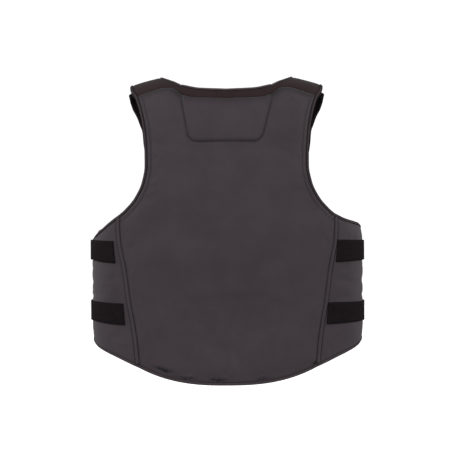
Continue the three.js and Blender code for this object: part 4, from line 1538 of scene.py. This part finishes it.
@dataclass
class Binding:
    """A tape folded round an edge and stitched through near its own edges."""

    name: str
    node: str
    line: EdgeLine
    outside: float
    finish: Finish = BINDING_TAPE
    width: float = PADDING.tape_width
    step: float = 2.6
    stitch_line: float = 0.72
    stitch_lift: float = 0.12
    # Painted shade at each point of half the section, from the tape's edge to the rim: dark at both, clear
    # over the tape's round face
    painted_shade: tuple[float, ...] = (1.0, 0.7, 0.2, 0.0, 0.0, 0.6, 0.9, 1.0)

    def section(self, full: Array) -> tuple[Array, Array]:
        """Section of the tape at each point along it, out of the rim and off the middle layer.

        Args:
            full: Full padding along the line.

        Returns:
            Distances out of the rim and off the middle layer, by point along and round.
        """
        width, wall = self.width, PADDING.tape_wall
        inside = bound_swell(full, np.full(len(full), width)) / 2
        edge = np.full(len(full), PADDING.bound_edge / 2)
        half = [
            (-width, inside - 1.2),
            (-width - 0.1, inside + 0.55 * wall),
            (-width + 0.6, inside + 0.95 * wall),
            (-0.75 * width, lerp(inside, edge, 0.25) + 0.8 * wall),
            (-0.4 * width, lerp(inside, edge, 0.6) + wall),
            (-0.12 * width, edge + 0.95 * wall),
            (0.5 * wall, edge + 0.35 * wall),
            (wall, 0.55 * edge),
        ]
        out = [a for a, _ in half] + [wall * 1.1] + [a for a, _ in reversed(half)]
        lift = [b for _, b in half] + [0.0 * edge] + [-b for _, b in reversed(half)]
        count = len(full)
        return (
            np.stack([np.broadcast_to(a, count) for a in out], axis=1),
            np.stack([np.broadcast_to(b, count) for b in lift], axis=1),
        )

    def build(self) -> bpy.types.Object:
        """Builds the tape.

        Returns:
            The finished piece.
        """
        line = self.line.evenly(self.step)
        tangent = unit(eased(np.gradient(line.middle, axis=0), 2))
        away = unit(np.cross(tangent, line.normal)) * self.outside
        out, lift = self.section(line.full)
        ring = line.middle[:, None] + away[:, None] * out[..., None] + line.normal[:, None] * lift[..., None]
        height = (lift[:, 3] + self.stitch_lift)[:, None]
        thread = line.middle - away * (self.stitch_line * self.width) + line.normal * height
        stitch_row(f"stitches_of_{self.name}", [EdgeLine(thread, line.normal, line.full)])
        # Painted shade round the whole section, darkest at the rim
        shade = [*self.painted_shade, 1.0, *reversed(self.painted_shade)]
        return swept_piece(self.name, ring, self.finish, [self.node], shade)


@dataclass
class SeamWelt:
    """The raised welt over a side seam of the back."""

    side: Side
    height: float = 2.4
    rise: float = 2.9
    end_gap: float = 6.0
    # Points round the section, as shares of the welt's width and height
    section: tuple[tuple[float, float], ...] = (
        (-0.5, -0.2), (-0.5, 0.55), (-0.36, 0.9), (-0.15, 1.0), (0.15, 1.0), (0.36, 0.9),
        (0.5, 0.55), (0.5, -0.2),
    )

    def build(self) -> bpy.types.Object:
        """Builds the welt.

        Returns:
            The finished piece.
        """
        climb = np.linspace(OUTLINE.hem_corner + self.end_gap, OUTLINE.seam_top - self.end_gap, 90)
        turn = self.side.value * OUTLINE.seam_turn(climb)
        middle, normal = FORM.point(turn, climb), FORM.outward(turn, climb)
        tangent = unit(np.gradient(middle, axis=0))
        across = unit(np.cross(tangent, normal))
        base = PADDING.sewn_edge / 2 + self.rise
        width = PADDING.welt_width

        def beside(out: float, up: float) -> Array:
            """Line along the welt, at a distance across it and a height over its foot."""
            return middle + across * out + normal * (base + up)

        name = f"seam_welt_{self.side.label}"
        rows = [
            EdgeLine(beside(sign * (width / 2 + 0.5), 0.35 * self.height), normal, np.zeros(len(climb)))
            for sign in (-1, 1)
        ]
        stitch_row(f"stitches_of_{name}", rows)
        ring = np.stack([beside(a * width, b * self.height) for a, b in self.section], axis=1)
        return swept_piece(f"stitched_{name}", ring, WELT_CLOTH, [name])


@dataclass
class SideStrap:
    """A hook-and-loop elastic strap from the side seam round to the front."""

    side: Side
    place: str
    level: float
    width: float = 38.0
    thickness: float = 2.0
    end_turn: float = 132.0
    gap: float = 0.3
    welt_half: float = 3.5
    slant: float = 0.45
    narrowing: float = 0.08
    left_rise: float = 3.0
    left_setback: float = 9.0
    right_setback: float = 2.0
    edge_round: float = 0.6
    step_turn: float = 69.0
    step_run: float = 29.0

    @property
    def setback(self) -> float:
        """Distance from the welt to the strap's end."""
        return self.left_setback if self.side is Side.LEFT else self.right_setback

    def start_turn(self, climb: Array) -> Array:
        """Turn of the strap's end, which slants a little with the seam."""
        middle = np.full(np.shape(climb), -self.level)
        seam = lerp(OUTLINE.seam_turn(middle), OUTLINE.seam_turn(climb), self.slant)
        step = 1e-3
        speed = np.linalg.norm(FORM.point(seam + step, middle) - FORM.point(seam, middle), axis=-1) / step
        return seam + (self.welt_half + self.setback) / speed

    def build(self) -> bpy.types.Object:
        """Builds the strap.

        Returns:
            The finished piece.
        """
        half, wall = self.width / 2, self.thickness
        across = np.linspace(-half + self.edge_round, half - self.edge_round, 9)
        section = [(-half, wall / 2), *((a, wall) for a in across)]
        section += [(half, wall / 2), *((a, 0.0) for a in across[::-1])]
        share = np.linspace(0.0, 1.0, 110)
        rise = self.left_rise if self.side is Side.LEFT else 0.0
        rings = []
        for a, b in section:
            climb = np.full(len(share), -self.level + a)
            turn = lerp(self.start_turn(climb), math.radians(self.end_turn), share)
            climb = climb + (rise - self.narrowing * a) * smooth(3.0 * share)
            step = smooth((turn - math.radians(self.step_turn)) / math.radians(self.step_run))
            base = lerp(PADDING.wing, PADDING.panel, step) / 2 + self.gap
            turn = self.side.value * turn
            rings.append(FORM.point(turn, climb) + FORM.outward(turn, climb) * (base + b)[:, None])
        name = f"strap_{self.place}_{self.side.label}"
        return swept_piece(f"elastic_{name}", np.stack(rings, axis=1), STRAP_LOOP, [name])


@dataclass
class Studio:
    """White sweep, soft lights and the photograph's camera."""

    distance: float = 1600.0
    scale: float = 1.8
    frame_pixels: float = 460.0
    centre_pixel: float = 227.3
    camera_height: float = -256.5
    camera_roll: float = 0.006
    floor_height: float = -1150.0
    aim: tuple[float, float, float] = (0.0, 0.0, -0.27)
    # Name, place in metres, side in metres and power in watts of each light
    lights: tuple[tuple[str, tuple[float, float, float], float, float], ...] = (
        ("key", (-1.0, -2.35, 0.75), 1.6, 55.0),
        ("fill", (1.4, -2.2, 0.4), 1.8, 37.0),
        ("left_rim", (-2.0, 0.5, 0.1), 1.4, 24.0),
        ("right_rim", (2.0, 0.5, 0.1), 1.4, 18.0),
    )

    def camera(self) -> None:
        """Places the camera level with the middle of the back, straight behind it."""
        data = bpy.data.cameras.new("camera")
        data.sensor_width = 36.0
        data.lens = data.sensor_width * self.distance / (self.scale * self.frame_pixels)
        data.dof.use_dof = False
        camera = bpy.data.objects.new("camera", data)
        shift = (self.frame_pixels / 2 - self.centre_pixel) * self.scale
        camera.location = Vector((shift, -self.distance, self.camera_height)) * MM
        camera.rotation_euler = (math.pi / 2, self.camera_roll, 0.0)
        bpy.context.scene.collection.objects.link(camera)
        bpy.context.scene.camera = camera

    def area(self, name: str, place: tuple[float, float, float], size: float, power: float) -> None:
        """Adds a soft square light that faces the middle of the object.

        Args:
            name: Name of the light.
            place: Where it stands, in metres.
            size: Its side, in metres.
            power: Its power in watts.
        """
        data = bpy.data.lights.new(name, "AREA")
        data.shape = "SQUARE"
        data.size = size
        data.energy = power
        light = bpy.data.objects.new(name, data)
        light.location = place
        way = Vector(self.aim) - light.location
        light.rotation_euler = way.to_track_quat("-Z", "Y").to_euler()
        bpy.context.scene.collection.objects.link(light)

    def floor(self) -> None:
        """Adds the pale floor, which throws no light on the object."""
        bm = bmesh.new()
        bmesh.ops.create_circle(bm, cap_ends=True, radius=9.0, segments=64)
        bmesh.ops.translate(bm, verts=bm.verts, vec=(0.0, 0.0, self.floor_height * MM))
        mesh = bpy.data.meshes.new("studio_floor")
        bm.to_mesh(mesh)
        bm.free()
        white = bpy.data.materials.new("white_sweep")
        white.use_nodes = True
        shader = white.node_tree.nodes["Principled BSDF"]
        shader.inputs["Base Color"].default_value = (0.9, 0.9, 0.9, 1.0)
        shader.inputs["Roughness"].default_value = 1.0
        shader.inputs["Emission Color"].default_value = (1.0, 1.0, 1.0, 1.0)
        shader.inputs["Emission Strength"].default_value = 1.0
        mesh.materials.append(white)
        floor = bpy.data.objects.new("studio_floor", mesh)
        bpy.context.scene.collection.objects.link(floor)
        floor.visible_diffuse = False
        floor.visible_glossy = False

    def surround(self) -> None:
        """Adds the white surround that the camera sees, with a softer one that lights the object."""
        world = bpy.data.worlds.new("studio")
        world.use_nodes = True
        bpy.context.scene.world = world
        tree = world.node_tree
        seen = tree.nodes["Background"]
        seen.inputs["Color"].default_value = (1.0, 1.0, 1.0, 1.0)
        seen.inputs["Strength"].default_value = 1.05
        lit = add_node(tree, "ShaderNodeBackground", {"Color": (0.96, 0.97, 1.0, 1.0), "Strength": 0.29})
        path = add_node(tree, "ShaderNodeLightPath")
        links = {0: path.outputs["Is Camera Ray"], 1: lit.outputs[0], 2: seen.outputs[0]}
        mix = add_node(tree, "ShaderNodeMixShader", links=links)
        tree.links.new(mix.outputs[0], tree.nodes["World Output"].inputs["Surface"])

    def build(self) -> None:
        """Sets the whole studio up."""
        self.camera()
        self.floor()
        self.surround()
        for name, place, size, power in self.lights:
            self.area(name, place, size, power)
        bpy.context.scene.view_settings.view_transform = "Standard"


@dataclass
class SideSheets:
    """The padded sheets of one side."""

    wing: PaddedSheet
    yoke: PaddedSheet
    tab: PaddedSheet


@dataclass
class Protector:
    """The whole garment, in the order it is sewn."""

    upper_strap: float = 293.0
    lower_strap: float = 400.5
    wing_joint: float = 0.93
    joint_drop: float = 40.0
    panel: BackPanel = field(default_factory=BackPanel)
    front: FrontPanel = field(default_factory=FrontPanel)

    def bindings(
        self, back: PaddedSheet, band: PaddedSheet, front: PaddedSheet, sides: dict[Side, SideSheets]
    ) -> None:
        """Binds every open edge.

        Args:
            back: The back panel.
            band: The neck band.
            front: The front panel.
            sides: Each side's wing, yoke and front shoulder.
        """
        side_joint = self.front.height_share(self.front.underarm - self.joint_drop)
        corner = ShoulderYoke(Side.LEFT).neck_corner
        for side, parts in sides.items():
            rim = Rim.END if side is Side.RIGHT else Rim.START
            armhole = EdgeLine.joined(
                parts.wing.edge(Rim.HIGH, 0.0, self.wing_joint).turned(),
                back.edge(rim, OUTLINE.seam_share, 1.0),
                parts.yoke.edge(Rim.END),
                parts.yoke.edge(Rim.HIGH).turned(),
            )
            name = f"armhole_binding_{side.label}"
            Binding(f"bound_armhole_{side.label}", name, armhole, side.value).build()
            front_armhole = EdgeLine.joined(
                front.edge(rim, side_joint, 1.0), parts.tab.edge(Rim.END), parts.tab.edge(Rim.HIGH).turned()
            )
            Binding(
                f"bound_front_armhole_{side.label}", f"front_{name}", front_armhole, side.value, FRONT_TAPE
            ).build()
        left, right = sides[Side.LEFT], sides[Side.RIGHT]
        neckline = EdgeLine.joined(
            left.yoke.edge(Rim.START, corner, 1.0).turned(),
            band.edge(Rim.HIGH),
            right.yoke.edge(Rim.START, corner, 1.0),
        )
        narrow = PADDING.narrow_tape
        Binding("bound_neckline", "neck_binding", neckline, -1.0, HIGHLIGHT_TAPE, narrow).build()
        hem = EdgeLine.joined(
            left.wing.edge(Rim.HIGH, self.wing_joint, 1.0),
            left.wing.edge(Rim.END).turned(),
            left.wing.edge(Rim.LOW).turned(),
            back.edge(Rim.LOW),
            right.wing.edge(Rim.LOW),
            right.wing.edge(Rim.END),
            right.wing.edge(Rim.HIGH, self.wing_joint, 1.0).turned(),
        )
        Binding("bound_hem", "hem_binding", hem, 1.0, HIGHLIGHT_TAPE, narrow).build()
        front_neckline = EdgeLine.joined(
            left.tab.edge(Rim.START).turned(),
            front.edge(Rim.HIGH, *self.front.neckline),
            right.tab.edge(Rim.START),
        )
        Binding("bound_front_neckline", "front_neck_binding", front_neckline, 1.0, FRONT_TAPE).build()
        front_hem = EdgeLine.joined(
            front.edge(Rim.START, 0.0, side_joint).turned(),
            front.edge(Rim.LOW),
            front.edge(Rim.END, 0.0, side_joint),
        )
        Binding("bound_front_hem", "front_hem_binding", front_hem, -1.0, FRONT_TAPE).build()

    def build(self) -> None:
        """Builds every piece."""
        back, band, front = self.panel.sheet(), NeckBand().sheet(), self.front.sheet()
        for sheet in (back, band, front):
            sheet.build()
        self.panel.pad.build()
        sides = {}
        for side in Side:
            parts = SideSheets(
                SideWing(side).sheet(), ShoulderYoke(side).sheet(), FrontShoulder(side).sheet()
            )
            for sheet in (parts.wing, parts.yoke, parts.tab):
                sheet.build()
            sides[side] = parts
            SeamWelt(side).build()
            SideStrap(side, "upper", self.upper_strap).build()
            SideStrap(side, "lower", self.lower_strap).build()
        self.bindings(back, band, front, sides)


def main() -> None:
    """Builds the studio and the protector."""
    logging.basicConfig(level=logging.INFO, format="%(message)s")
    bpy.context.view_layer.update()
    Studio().build()
    Protector().build()


if __name__ == "__main__":
    main()
